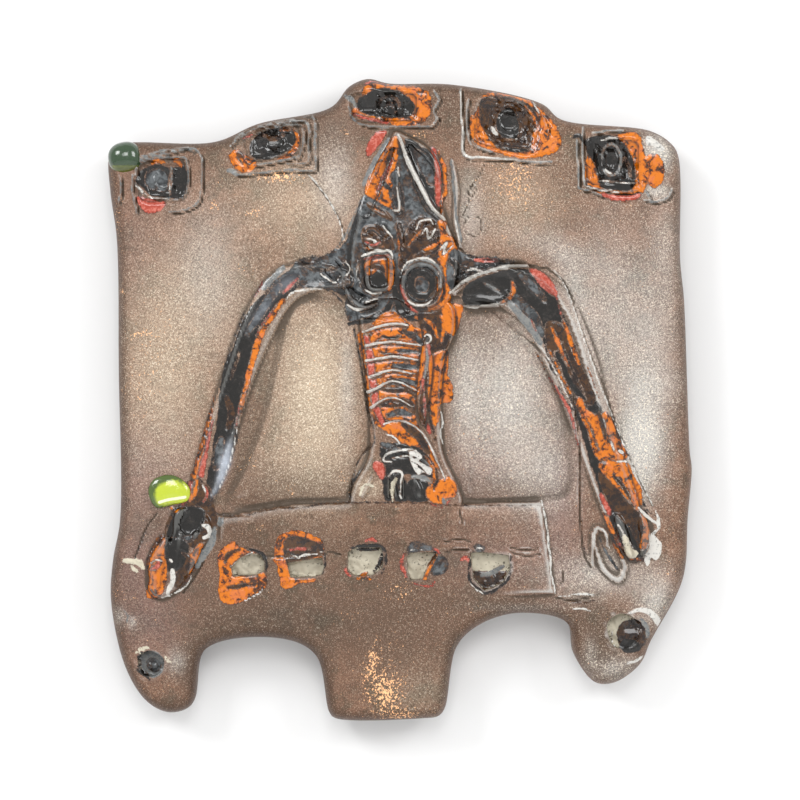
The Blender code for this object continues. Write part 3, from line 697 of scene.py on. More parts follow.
@dataclass
class LegHoles(Section):
    """Round blind hole in each leg, with a ragged rim and a clay floor."""

    depth: float = 8.0
    wall: float = 0.4
    holes: list = field(default_factory=lambda: [((-388, -410), 6.2), ((347, -359), 8.2)])

    def openings(self) -> list[np.ndarray]:
        """Outlines of the two holes in millimetres, a little uneven."""
        turn = np.arange(36) / 36 * 2 * np.pi
        made = []
        for middle, radius in self.holes:
            uneven = radius * (1 + 0.05 * np.sin(turn * 3 + 1.0) + 0.03 * np.sin(turn * 5))
            made.append(np.stack([np.cos(turn) * uneven, np.sin(turn) * uneven], 1) + place(middle))
        return made

    def carve(self, face: Face) -> None:
        """Sinks the two holes and raises a low worn rim round each."""
        for loop in self.openings():
            chosen, inside = face.within(loop, 4.0)
            rough = ripple(face.points[chosen], 2.6, 57)
            lip = np.exp(-((inside + 1.6) / 1.1) ** 2) * (0.15 + 0.3 * rough)
            face.open_hole(chosen, inside / self.wall, rough * 0.6 - self.depth * 0.92, lip)

    def paint(self, face: Face) -> None:
        """Lays the clay floors, the broken black edge, and the cream crusts of the legs and hands."""
        for loop in self.openings():
            chosen, inside = face.within(loop, 2.0)
            face.lay(CLAY, chosen, inside - 0.3)
        face.areas(UMBER, [
            [(339, -351), (352, -343), (373, -343), (383, -359), (380, -381), (361, -390), (342, -382),
            (336, -367)]])
        face.areas(ASH_AND_GLINT, [
            [(-405, -398), (-390, -390), (-373, -395), (-367, -410), (-373, -426), (-387, -431),
            (-401, -421)]])
        face.lines(ASH_AND_GLINT, [
            (3.7, (373, -340), (383, -353), (383, -368)), (1.4, (-431, -326), (-423, -334), (-425, -346))])
        face.lines(PALE_AND_HIGHLIGHT, [
            (1.9, (330, -359), (328, -371), (334, -384)), (0, (353, -332, 1.2), (370, -326, 3.1),
            (389, -331, 5), (400, -343, 5.3), (406, -357, 2.5)), (2.5, (352, -409), (370, -404),
            (389, -392)), (1.9, (267, -326), (280, -323), (295, -328))])
        face.areas(DARK, [[(342, -378), (352, -371), (370, -376), (375, -387), (358, -393), (344, -389)]])
        face.areas(SLATE, [[(-397, -409), (-387, -401), (-375, -406), (-375, -421), (-387, -424)]])
        face.lines(DARK, [
            (0, (-400, -389, 1.4), (-408, -398, 2.8), (-403, -409, 1.9), (-408, -418, 2.8),
            (-398, -426, 3.4), (-389, -435, 2.2))])
        face.lines(CLAY, [
            (2.8, (-412, -393), (-405, -387), (-392, -385)), (1.7, (-366, -398), (-359, -407),
            (-344, -401))])
        # Silver tint on the legs and the lower field, partly a painted sheen.
        face.tint(SILVER_AND_SHEEN, [
            (-439, -337, 9, 14, 0.85), (-417, -345, 6, 9, 0.6), (-347, -406, 14, 19, 0.55),
            (186, -323, 62, 6, 0.35), (311, -273, 78, 34, 0.55), (334, -418, 41, 22, 0.6),
            (397, -312, 28, 41, 0.7), (295, -398, 12, 28, 0.5)])
        face.tint(SMOKE, [
            (-323, -382, 14, 9, 0.7), (-216, -348, 69, 12, 0.6), (-294, -375, 9, 28, 0.6),
            (168, -318, 81, 11, 0.6), (-107, -398, 8, 34, 0.4), (80, -382, 11, 41, 0.5),
            (-331, -418, 25, 37, 0.7), (-359, -476, 41, 19, 0.55), (-422, -312, 22, 62, 0.35),
            (311, -375, 41, 62, 0.8), (249, -340, 69, 19, 0.5)])
        face.tint(MAUVE, [(-390, -351, 62, 62, 0.5)])
        face.tint(COPPER, [
            (-443, -300, 8, 12, 0.5), (-417, -309, 12, 5, 0.5), (417, -250, 12, 47, 0.25),
            (-390, -452, 28, 12, 0.3)])


@dataclass
class Figure(Section):
    """Hooded figure: head, ringed eyes, ribbed torso, long channelled arms and hands."""

    head_rise: float = 2.4
    torso_rise: float = 2.0
    arm_rise: float = 2.7
    hand_rise: float = 2.4
    finger_rise: float = 3.4
    ring_rise: float = 4.6
    ring_width: float = 3.4
    rib_rise: float = 3.3
    rib_width: float = 2.0
    # How far below each rib its painted shadow line lies.
    rib_shadow_drop: float = 1.5
    trough_depth: float = 2.2
    scratch_depth: float = 0.5
    scratch_width: float = 1.1
    head: list = field(default_factory=lambda: [
        (-9, 418), (14, 410), (44, 392), (62, 362), (67, 300), (86, 245), (92, 206), (72, 146), (28, 134),
        (-44, 154), (-75, 172), (-80, 214), (-68, 280), (-39, 362), (-21, 396),
    ])
    torso: list = field(default_factory=lambda: [
        (-62, 156), (5, 162), (78, 152), (86, 108), (70, 66), (64, -22), (68, -82), (92, -136), (96, -164),
        (-79, -164), (-76, -138), (-50, -86), (-52, 6), (-60, 86),
    ])
    ribs: list = field(default_factory=lambda: [
        [(-58, 106), (-15, 118), (12, 116)], [(-55, 84), (-15, 90), (32, 84)],
        [(-54, 60), (-11, 67), (27, 62)], [(-49, 35), (-12, 46), (23, 40)], [(-51, 11), (-12, 29), (27, 14)],
        [(-46, -12), (-15, 4), (20, -11)], [(-23, -32), (8, -33), (33, -50), (49, -77), (63, -108)],
    ])
    eyes: list = field(default_factory=lambda: [((-33, 199), 19, 29, 3.4), ((33, 178), 29, 32, 2.2)])
    left_arm: list = field(default_factory=lambda: [
        (-74, 182, 26), (-106, 189, 19), (-138, 190, 22), (-171, 180, 26), (-200, 150, 26), (-225, 103, 25),
        (-245, 51, 23), (-264, -4, 22), (-280, -58, 22), (-296, -110, 21), (-314, -164, 21),
        (-326, -194, 22),
    ])
    right_arm: list = field(default_factory=lambda: [
        (84, 166, 16), (124, 174, 25), (156, 177, 32), (190, 168, 39), (226, 142, 41), (249, 100, 40),
        (268, 53, 38), (286, 0, 34), (303, -55, 31), (321, -110, 30), (340, -164, 30), (356, -212, 28),
        (366, -240, 24),
    ])
    right_trough: list = field(default_factory=lambda: [
        (96, 162, 9), (124, 172, 18), (163, 175, 24), (202, 158, 30), (230, 121, 30), (249, 78, 28),
        (268, 23, 26), (292, -39, 22), (316, -102, 23), (336, -156, 23), (353, -204, 20), (364, -238, 12),
    ])
    palm: list = field(default_factory=lambda: [
        (-348, -170), (-302, -176), (-292, -204), (-316, -246), (-336, -286), (-376, -310), (-392, -294),
        (-382, -248), (-358, -216),
    ])

    def carve(self, face: Face) -> None:
        """Builds the figure's relief from the large forms down to the scratches."""
        face.raise_plate(self.torso, self.torso_rise, 1.6)
        face.raise_plate(self.head, self.head_rise, 1.8)
        face.raise_line(self.left_arm, self.arm_rise, blend=1.2)
        face.raise_line(self.right_arm, self.arm_rise, blend=1.2)
        face.raise_plate(self.palm, self.hand_rise, 1.6)
        face.cut_trough(self.left_arm[1:], self.arm_rise, self.trough_depth, narrow=1.6, blend=0.7)
        face.cut_trough(self.right_trough, self.arm_rise, self.trough_depth, blend=0.7)
        troughs = [
            [(16, 391, 5), (37, 358, 12.9), (52, 322, 12), (60, 293, 4.1)],
            [(-13, 388, 4.1), (-30, 349, 9), (-48, 314, 12.9), (-54, 288, 8)],
            [(-74, 134, 5.9), (-46, 138, 12.9), (-15, 143, 15), (9, 140, 7)],
        ]
        lines = [
            ([(-4, 408, 1.9), (9, 380, 4.1), (30, 333, 4.7), (49, 300, 4.1), (68, 277, 1.9)], 4.8),
            ([(-5, 358, 3.1), (-4, 327, 3.4), (-3, 291, 2.8)], 3.6),
            ([(-37, 272, 2.3), (-30, 263, 3.1), (-23, 255, 2.2)], 3.5),
            ([(-58, 230, 2.2), (-44, 238, 3.1), (-32, 241, 2.2)], 3.5),
            ([(15, 265, 2.3), (30, 249, 3.4), (49, 255, 2.3)], 3.5),
            ([(41, 96, 7.8), (40, 54, 11.7), (35, 7, 11.7), (35, -38, 6.2)], 4.4),
            ([(-27, -89, 3.1), (-5, -77, 6.2), (27, -88, 7.8), (49, -106, 3.9)], 3.6),
            ([(-44, -117, 4.7), (-54, -138, 6.2), (-60, -152, 4.7)], 3),
            ([(-19, -116, 2.5), (-19, -152, 3.1)], 3.2), ([(-9, -113, 2.5), (-7, -153, 3.1)], 3.2),
            ([(4, -116, 2.5), (5, -152, 3.1)], 3.2),
            ([(21, -122, 6.2), (27, -138, 9.4), (30, -150, 7.8)], 3.4),
            ([(-362, -214, 7.8), (-378, -256, 12.5), (-380, -297, 7.8)], self.finger_rise),
            ([(-341, -208, 7.8), (-348, -250, 12.5), (-355, -290, 6.2)], self.finger_rise),
            ([(-316, -206, 9.4), (-322, -240, 10.9), (-336, -275, 6.2)], self.finger_rise),
            ([(336, -180, 7.8), (348, -216, 8.6), (359, -247, 4.7)], self.finger_rise),
            ([(372, -177, 7.8), (380, -214, 8.6), (376, -244, 4.7)], self.finger_rise),
            ([(299, -259, 2.3), (299, -220, 3.9), (305, -200, 3.7), (317, -205, 3.1),
                (323, -233, 2.3)], 1.5),
            ([(300, -220, 2.5), (317, -265, 4.1), (339, -279, 4.1), (348, -259, 3.1),
                (336, -231, 2.5)], 1.6),
            ([(80, 374, 3.1), (87, 327, 3.9), (85, 280, 3.4), (94, 237, 2.5)], 1.2),
            ([(77, 165, 1.6), (96, 182, 3.1), (127, 199, 3.4), (164, 207, 3.1), (199, 208, 2.2)], 3.4),
            ([(96, 145, 1.9), (124, 146, 2.8), (155, 149, 2.2), (172, 170, 1.9)], 3),
            ([(-87, 177, 3.1), (-76, 155, 4.7), (-54, 143, 4.1), (-35, 149, 3.4)], 3.2),
            ([(-66, 215, 2.2), (-69, 193, 3.1), (-60, 173, 2.5)], 3.2),
        ]
        cuts = [
            [(-143, 350), (-113, 311), (-94, 277), (-88, 252), (-97, 237)],
            [(266, 18), (272, -22), (277, -63), (278, -133), (280, -203), (286, -244), (295, -259)],
            [(241, -307), (267, -312), (295, -306)], [(-283, -178), (-250, -180), (-231, -179)],
            [(-72, 110), (-60, 43), (-51, -16), (-43, -64), (-62, -88), (-76, -125), (-79, -156)],
            [(74, 272), (90, 238), (108, 224), (149, 216), (202, 208), (230, 204)],
            [(140, 138), (175, 110), (207, 85), (225, 67), (238, 45)],
            [(-412, -245), (-394, -198), (-378, -177)], [(-305, -250), (-319, -275), (-337, -300)],
            [(-158, 216), (-125, 205), (-104, 201)],
            [(230, 202), (252, 185), (266, 157), (278, 117), (294, 73), (311, 31), (331, -32), (352, -80),
                (373, -128), (392, -166)],
        ]
        scribbles = [
            [(21, 265), (27, 277), (38, 280), (34, 266), (46, 276), (52, 271), (41, 255)],
            [(30, 249), (40, 261), (46, 249), (55, 258), (62, 240), (71, 244), (65, 227), (80, 240)],
            [(-51, 261), (-41, 249), (-51, 238), (-35, 230)], [(-26, 271), (-16, 258), (-29, 249)],
            [(-129, 215), (-116, 199), (-125, 188), (-107, 182), (-91, 202), (-101, 215)],
            [(-119, 202), (-97, 180), (-82, 193)], [(-1, 272), (5, 249), (-1, 224), (7, 212)],
            [(108, 199), (118, 208), (130, 205), (115, 193)], [(85, 190), (102, 201), (93, 205)],
            [(113, 333), (104, 324), (111, 316), (118, 327)],
            [(130, 364), (121, 346), (108, 327), (105, 305), (97, 286)],
            [(99, 274), (108, 286), (124, 280), (125, 263), (115, 254), (101, 260)],
        ]
        for points in troughs:
            face.cut_trough(points, self.head_rise, 1.8, blend=0.5)
        for points, rise in lines:
            face.raise_line(points, rise, blend=0.5)
        for rib in self.ribs:
            face.raise_line(rib, self.rib_rise, self.rib_width, 0.35)
        for middle, half_width, half_height, squareness in self.eyes:
            ring = squarish(24, half_width, half_height, squareness) + np.asarray(middle)
            self.raise_ring(face, ring)
        for line in cuts:
            face.cut_line(line, 0.7, 1.3, 0.15)
        for line in scribbles:
            face.cut_line(line, self.scratch_depth, self.scratch_width, 0.35)
        self.hollow_panels(face)

    def raise_ring(self, face: Face, ring: np.ndarray) -> None:
        """Raised ring of round section round an eye."""
        path = place(closed(ring))
        chosen, inside, share = face.along(path, np.full(len(path), self.ring_width / 2))
        top = self.ring_rise * np.sqrt(np.clip(1 - share ** 2, 0, 1))
        face.lift(chosen, np.where(inside > 0, top, inside * 2.5), 0.5)

    def hollow_panels(self, face: Face) -> None:
        """Swells the fields between the arms and the torso, and sinks a soft groove along their edges."""
        panels = [
            [(-172, 137), (-157, 152), (-110, 151), (-85, 121), (-72, 62), (-60, -16), (-54, -66),
                (-76, -110), (-85, -150), (-157, -156), (-235, -166), (-263, -156), (-235, -91), (-210, -19),
                (-191, 62)],
            [(108, 131), (155, 124), (199, 78), (230, 25), (252, -32), (258, -141), (217, -152), (102, -153),
                (87, -110), (71, -63), (80, 0), (87, 78)],
        ]
        for panel in panels:
            loop = smooth(place(panel), 5, ring=True)
            chosen, inside = face.within(loop, 6.0, 14.0)
            edge = np.exp(-((inside + 0.5) / 3.0) ** 2) * 0.9
            face.height[chosen] += soft_step(inside / 13.0) * 0.9 - edge

    def paint(self, face: Face) -> None:
        """Lays the glazes of the figure, from its slate ground to the light on its ribs."""
        self.paint_head(face)
        self.paint_torso(face)
        self.paint_left_arm(face)
        self.paint_right_arm(face)
        self.paint_fields(face)

    def paint_head(self, face: Face) -> None:
        """Lays the hood, the face and the two ringed eyes."""
        face.lines(ASH_AND_GLINT, [(2.5, (79, 374), (88, 277), (94, 246))])
        face.areas(RED, [[(-54, 386), (-48, 405), (-35, 417), (-21, 419), (-27, 402), (-51, 377)]])
        face.lines(ASH_AND_GLINT, [(4.1, (-19, 405), (-46, 358), (-57, 333))])
        face.areas(SLATE, [
            [(-5, 408), (5, 386), (30, 327), (62, 277), (71, 233), (62, 205), (46, 146), (5, 127),
            (-44, 121), (-76, 118), (-87, 146), (-79, 168), (-69, 215), (-85, 237), (-76, 271), (-63, 307),
            (-51, 327), (-26, 374)]])
        face.areas(UMBER, [
            [(-57, 268), (-35, 271), (-16, 255), (-10, 233), (-29, 230), (-51, 227), (-60, 249)]])
        face.lines(UMBER, [(4.7, (-4, 274), (2, 221), (-1, 205))])
        face.areas(ORANGE, [
            [(-5, 414), (-7, 361), (-16, 346), (-12, 333), (-19, 321), (-7, 293), (-41, 311), (-57, 321)],
            [(-54, 215), (-32, 219), (-13, 221), (-7, 208), (-16, 165), (-26, 180), (-48, 190), (-57, 202)]])
        face.lines(ORANGE, [(1.2, (-4, 258), (-1, 221)), (2.2, (-54, 235), (-41, 233), (-26, 238))])
        face.areas(DARK, [[(-58, 191), (-44, 193), (-32, 202), (-19, 174), (-32, 165), (-51, 168)]])
        face.lines(DARK, [
            (2.5, (5, 374), (40, 297), (62, 276)), (2.5, (-55, 260), (-43, 263), (-30, 252)),
            (2.2, (-63, 218), (-66, 199), (-62, 180), (-51, 166), (-30, 162)), (2.5, (-85, 174), (-76, 149),
            (-57, 138), (-38, 145)), (5.3, (-79, 118), (-41, 127), (-19, 143), (-13, 159)), (7, (-10, 174),
            (5, 132), (30, 127))])
        # Pale lines of the head, here and below, partly painted highlights.
        face.lines(PALE_AND_HIGHLIGHT, [
            (3.7, (-4, 410), (19, 355), (52, 296), (68, 279)), (1.4, (-4, 360), (-2, 346)), (1.1, (85, 277),
            (93, 237)), (1.4, (-54, 252), (-38, 246), (-48, 237), (-30, 232)), (0.9, (-27, 269), (-13, 252)),
            (1.2, (-66, 208), (-69, 193), (-62, 176)), (1.6, (-54, 170), (-43, 165), (-30, 166)),
            (2, (-82, 148), (-71, 141), (-58, 141)), (0.6, (-54, 151), (-35, 157))])
        face.areas(ORANGE, [
            [(58, 277), (71, 277), (71, 258), (83, 251), (88, 233), (77, 215), (85, 193), (77, 171),
            (80, 146), (69, 137), (58, 155), (68, 187), (58, 233), (62, 252)]])
        face.areas(UMBER, [
            [(12, 268), (30, 282), (52, 279), (62, 255), (58, 230), (37, 223), (15, 213), (4, 237)]])
        face.lines(UMBER, [(6.2, (-48, 302), (-16, 282)), (4.7, (-46, 205), (-35, 208), (-26, 199))])
        face.lines(RED, [
            (3.4, (-13, 374), (-35, 324)), (2.8, (-54, 244), (-43, 240), (-32, 244)), (3.1, (-57, 218),
            (-19, 224)), (3.4, (5, 162), (13, 146), (26, 134))])
        face.lines(ORANGE, [
            (1.2, (-44, 297), (-27, 290)), (2.2, (13, 240), (32, 263)), (3.7, (37, 233), (49, 237),
            (62, 246)), (4.1, (24, 127), (43, 131), (62, 143))])
        face.lines(PALE_AND_HIGHLIGHT, [
            (1.4, (24, 266), (30, 277), (46, 279), (51, 271)), (1.6, (62, 233), (72, 244), (66, 226),
            (80, 238)), (1.9, (-60, 223), (-51, 227), (-16, 230), (-12, 219))])
        face.areas(DARK, [
            [(5, 403), (21, 403), (35, 391), (51, 382), (62, 367), (68, 343), (65, 311), (62, 291),
            (52, 297), (37, 327)]])
        face.lines(DARK, [
            (4.1, (-27, 338), (-16, 325)), (2.2, (-12, 318), (-12, 299), (-1, 286), (4, 311), (-1, 336)),
            (1.2, (18, 221), (44, 243))])
        face.lines(UMBER, [
            (4.1, (5, 196), (12, 210), (27, 217), (46, 216), (58, 205), (63, 185), (57, 162), (41, 148),
            (18, 149), (5, 168))])
        face.lines(PALE_AND_HIGHLIGHT, [
            (1.7, (-5, 329), (-3, 294), (-12, 293)), (1.1, (32, 255), (41, 266), (43, 249), (55, 265))])
        face.lines(RED, [(2.8, (1, 177), (7, 159), (19, 148))])
        face.areas(DARK, [
            [(19, 201), (35, 204), (49, 196), (54, 179), (48, 162), (32, 155), (16, 162), (10, 174)]])
        face.areas(SLATE, [
            [(21, 389), (46, 374), (52, 333), (43, 336)], [(23, 187), (35, 191), (44, 180), (40, 168),
            (26, 168)]])
        face.lines(ASH_AND_GLINT, [(2.5, (5, 201), (18, 213), (37, 218), (55, 210), (63, 193), (62, 174))])
        face.lines(ORANGE, [
            (4.4, (60, 219), (71, 199), (71, 171), (60, 151), (43, 138)), (1.9, (55, 190), (57, 174),
            (51, 159))])
        face.lines(PALE_AND_HIGHLIGHT, [
            (1.6, (1, 199), (10, 212), (41, 220), (55, 213)), (1.7, (12, 154), (24, 146), (40, 148),
            (49, 155))])
        face.lines(RED, [(5.6, (49, 389), (57, 374), (58, 318), (60, 296))])
        face.lines(ORANGE, [(4.4, (58, 385), (66, 364), (69, 333), (62, 290))])

    def paint_torso(self, face: Face) -> None:
        """Lays the torso's orange ground, its darker pools, drips and ribs, with a pale line on each rib's
        crest, partly a painted highlight, and a painted shadow line under it.
        """
        face.areas(ORANGE, [
            [(-65, 104), (-48, 113), (-32, 131), (-10, 137), (34, 109), (52, 127), (62, 93), (46, 62),
            (30, 15), (26, -32), (63, -106), (49, -103), (30, -81), (12, -74), (-26, -47), (-41, -38),
            (-57, 46)]])
        face.lines(RED, [(6.2, (-54, 99), (-49, 78), (-37, -13), (-27, -38))])
        face.areas(DARK, [[(-23, -103), (-4, -103), (12, -156), (-23, -156)]])
        face.lines(DARK, [
            (2.5, (-29, 99), (-13, 96), (-1, 99)), (1.7, (-76, -159), (-77, -138), (-66, -116),
            (-54, -103))])
        face.lines(SLATE, [
            (5.3, (5, 107), (21, 99), (34, 87)), (3.1, (-7, 76), (30, 74)), (5.3, (-10, 53), (26, 51)),
            (5.6, (-19, 26), (2, 29), (24, 26))])
        face.areas(UMBER, [
            [(27, 135), (52, 138), (76, 146), (80, 112), (72, 78), (58, 62), (43, 74), (32, 106)]])
        face.lines(UMBER, [
            (1.9, (-32, 73), (2, 68)), (5, (-29, 18), (-10, 15), (12, 15), (23, 6)), (6.2, (-29, -7),
            (-10, -7), (12, -5), (21, -19)), (6.2, (5, -38), (27, -57), (43, -81))])
        face.areas(ORANGE, [[(66, 145), (97, 146), (94, 124), (85, 101), (72, 102)]])
        face.lines(ORANGE, [
            (3.7, (38, 124), (51, 115), (58, 96)), (3.1, (62, 131), (68, 115), (63, 90)), (3.7, (-32, -4),
            (-23, 3), (-15, -7)), (4.1, (37, 109), (43, 87), (30, 37))])
        face.lines(CLAY, [
            (3.4, (-13, -156), (-12, -134), (-7, -122)), (2.3, (-63, -147), (-54, -131), (-41, -134))])
        face.areas(DARK, [[(-32, -74), (-13, -67), (34, -77), (57, -116), (46, -122), (-26, -100)]])
        face.lines(PALE_AND_HIGHLIGHT, [
            (1.9, (-19, -119), (-10, -111), (2, -113), (-1, -134), (1, -153)), (1.1, (-13, -91), (12, -86))])
        face.areas(DARK, [
            [(10, -128), (27, -122), (43, -128), (46, -147), (40, -159), (18, -159), (5, -147)]])
        face.lines(DARK, [(1.6, (-16, -116), (-15, -156)), (1.6, (-2, -116), (-2, -156))])
        face.lines(SLATE, [(5.3, (-19, -24), (-1, -19), (16, -22)), (5.3, (-30, -69), (-4, -77))])
        face.areas(RED, [[(-44, -100), (-34, -94), (-24, -103), (-23, -119), (-29, -125)]])
        face.lines(RED, [(5.3, (44, 87), (44, 62), (34, 0), (37, -32), (46, -50))])
        face.lines(UMBER, [(3.4, (34, 15), (32, -16), (40, -44))])
        face.lines(ASH_AND_GLINT, [(3.4, (18, -120), (30, -119), (46, -127))])
        face.areas(ORANGE, [
            [(46, 68), (74, 78), (74, 43), (83, 12), (77, -4), (63, -7), (60, -32), (51, -47), (43, -8),
            (43, 31)], [(-26, -42), (7, -57), (16, -72), (5, -66), (-13, -60)], [(37, -85), (52, -103),
            (58, -122), (77, -120), (88, -134), (85, -150), (71, -153), (68, -163), (43, -156), (40, -141),
            (51, -125)]])
        face.lines(DARK, [(0, (42, 101, 4.1), (43, 92, 4.4))])
        face.lines(UMBER, [
            (2.8, (41, 59), (40, 15), (44, -22), (55, -63)), (2.5, (52, -138), (58, -125), (55, -110))])
        # Pale patches and lines of the torso, partly painted highlights.
        face.areas(PALE_AND_HIGHLIGHT, [
            [(13, -81), (26, -80), (34, -89), (29, -95), (49, -108), (44, -117), (34, -113), (27, -116)]])
        face.lines(PALE_AND_HIGHLIGHT, [
            (1.6, (63, -19), (66, -38), (62, -50), (66, -69)), (1.4, (38, 99), (42, 102), (48, 98), (47, 91),
            (41, 88)), (1.7, (-13, -97), (-26, -94), (-24, -86), (9, -77), (24, -78)), (1.2, (-26, -38),
            (-13, -33), (5, -33), (34, -52), (69, -122)), (1.2, (-23, -53), (-10, -58), (-1, -67))])
        face.lines(DARK, [
            (1.9, (19, -88), (27, -91)), (1.9, (26, -103), (34, -108)), (1.4, (18, -95), (29, -103),
            (41, -116))])
        face.lines(RED, [(2, (46, -161), (65, -166), (77, -156))])
        face.lines(ASH_AND_GLINT, [(1.6, (41, 79), (42, 62), (37, 34)), (2.8, (66, -153), (69, -161))])
        face.tint(SILVER_AND_SHEEN, [(102, 12, 25, 97, 0.55), (-83, 23, 12, 87, 0.4)])
        face.tint(TAN, [(-51, -136, 25, 16, 0.6)])
        face.tint(SMOKE, [(-76, -144, 9, 16, 0.5)])
        # A pale line on each rib's crest, partly a painted highlight, and a dark line just below it: painted
        # shadow.
        for number, rib in enumerate(self.ribs[:-1]):
            path = smooth(place(rib), 6)
            halves = 0.42 + 0.18 * np.sin(np.linspace(0.2, 3.0, len(path)) + number * 0.4)
            chosen, inside, _ = face.along(path, halves, wavy=True)
            face.lay(PALE_AND_HIGHLIGHT, chosen, inside)
            shade = path - np.array([0.0, self.rib_shadow_drop])
            chosen, inside, _ = face.along(shade, np.full(len(path), 0.32), wavy=True)
            face.lay(DARK, chosen, inside)

    def paint_left_arm(self, face: Face) -> None:
        """Lays the left shoulder, the long dark glaze of the arm and the hand."""
        face.lines(CLAY, [(3.4, (-417, -259), (-409, -267))])
        face.areas(SLATE, [
            [(-160, 218), (-141, 224), (-116, 226), (-97, 235), (-79, 249), (-66, 233), (-69, 199),
            (-63, 177), (-79, 162), (-119, 173), (-169, 171), (-188, 159), (-210, 131), (-228, 131),
            (-216, 162), (-194, 187), (-172, 202)]])
        face.lines(ASH_AND_GLINT, [(0, (-182, 205, 4.1), (-213, 174, 4.1))])
        face.areas(DARK, [
            [(-175, 193), (-157, 193), (-163, 171), (-182, 152), (-216, 99), (-246, 3), (-253, -63),
            (-274, -128), (-291, -150), (-302, -147), (-292, -81), (-283, -13), (-280, 21), (-272, 56),
            (-256, 93), (-246, 121), (-228, 149)]])
        face.lines(DARK, [
            (1.6, (-158, 215), (-144, 221), (-122, 224), (-101, 233)), (2.2, (-157, 213), (-141, 205),
            (-122, 201), (-101, 205)), (3.1, (-91, 215), (-79, 202), (-76, 180), (-88, 174)),
            (1.1, (-241, 143), (-272, 68))])
        face.lines(ORANGE, [(0, (-289, 6, 1.6), (-300, -47, 4.7), (-322, -122, 5))])
        face.lines(RED, [(2.5, (-213, 182), (-228, 159)), (0, (-291, -32, 1.9), (-309, -116, 5.6))])
        face.areas(UMBER, [
            [(-331, -125), (-313, -122), (-294, -138), (-288, -163), (-284, -191), (-294, -212),
            (-313, -226), (-362, -230), (-366, -203), (-355, -175), (-337, -156)]])
        face.lines(UMBER, [(1.9, (-250, 74), (-263, 31)), (5.3, (-269, 3), (-263, -19), (-267, -44))])
        face.lines(RED, [
            (4.7, (-325, -125), (-331, -147), (-341, -169)), (3.1, (-303, -134), (-300, -148),
            (-306, -159))])
        # Pale lines of the left arm, here and below, partly painted highlights.
        face.lines(PALE_AND_HIGHLIGHT, [
            (0.9, (-124, 196), (-101, 182), (-93, 193)), (1.1, (-85, 215), (-79, 205), (-83, 193))])
        face.lines(ORANGE, [(4.7, (-316, -125), (-319, -141), (-328, -156))])
        face.lines(SLATE, [(7.2, (-188, 177), (-207, 152), (-238, 102)), (7.2, (-278, -60), (-286, -106))])
        face.areas(DARK, [
            [(-350, -175), (-325, -164), (-303, -172), (-306, -197), (-322, -219), (-362, -225)]])
        face.lines(PALE_AND_HIGHLIGHT, [
            (1.6, (-308, -128), (-302, -144)), (4.1, (-306, -194), (-299, -197), (-295, -208),
            (-305, -214))])
        face.lines(RED, [(3.4, (-160, 188), (-183, 165))])
        face.lines(ASH_AND_GLINT, [(3.4, (-281, -183), (-280, -194), (-275, -184))])
        face.lines(SLATE, [(5.6, (-353, -216), (-341, -219), (-325, -212))])
        face.areas(ORANGE, [
            [(-378, -216), (-366, -209), (-364, -290), (-372, -304), (-384, -310), (-395, -303),
            (-390, -278), (-395, -256)], [(-309, -220), (-303, -234), (-317, -262), (-331, -286),
            (-344, -295), (-345, -276)]])
        face.lines(ORANGE, [
            (5.6, (-182, 155), (-213, 109), (-250, -19)), (3.7, (-356, -167), (-348, -172), (-342, -164))])
        face.lines(RED, [
            (2, (-191, 149), (-210, 124), (-224, 99)), (1.9, (-250, -7), (-256, -44)), (3.7, (-387, -262),
            (-378, -259), (-373, -247))])
        face.areas(DARK, [[(-364, -220), (-347, -212), (-327, -225), (-342, -267), (-358, -267)]])
        face.lines(CLAY, [(5, (-428, -250), (-406, -253), (-400, -262))])
        face.areas(UMBER, [
            [(-348, -269), (-337, -259), (-331, -250), (-325, -256), (-334, -281), (-347, -293),
            (-352, -287)]])
        face.lines(UMBER, [(3.4, (-337, -237), (-328, -244), (-331, -256))])
        face.lines(PALE_AND_HIGHLIGHT, [
            (1.6, (-249, -25), (-266, -100), (-283, -144)), (2, (-178, 155), (-169, 165), (-157, 170),
            (-119, 172)), (4.7, (-353, -264), (-353, -278), (-361, -301)), (2.2, (-358, -248), (-354, -251)),
            (1.4, (-370, -307), (-350, -300), (-331, -286), (-323, -270)), (1.1, (-387, -254), (-378, -248),
            (-370, -250))])
        face.lines(DARK, [
            (1.4, (-119, 173), (-104, 165), (-91, 152), (-85, 137)), (0.9, (-412, -247), (-395, -203))])
        face.lines(ASH_AND_GLINT, [(5.6, (-288, -200), (-294, -223), (-316, -259))])
        # Painted highlights: the bluish white light along the lower arm and a soft light on the upper arm.
        face.tint(PAINTED_HIGHLIGHT, [
            (-267, -78, 5, 14, 0.55, -14), (-272, -97, 7, 14, 0.85, -14), (-278, -119, 5, 14, 0.75, -20),
            (-288, -141, 3, 9, 0.45, -30), (-216, 137, 6, 25, 0.18, -38), (-178, 180, 8, 19, 0.2, -55)])
        face.tint(SMOKE, [(-375, -187, 16, 25, 0.5), (-320, -297, 31, 22, 0.4)])

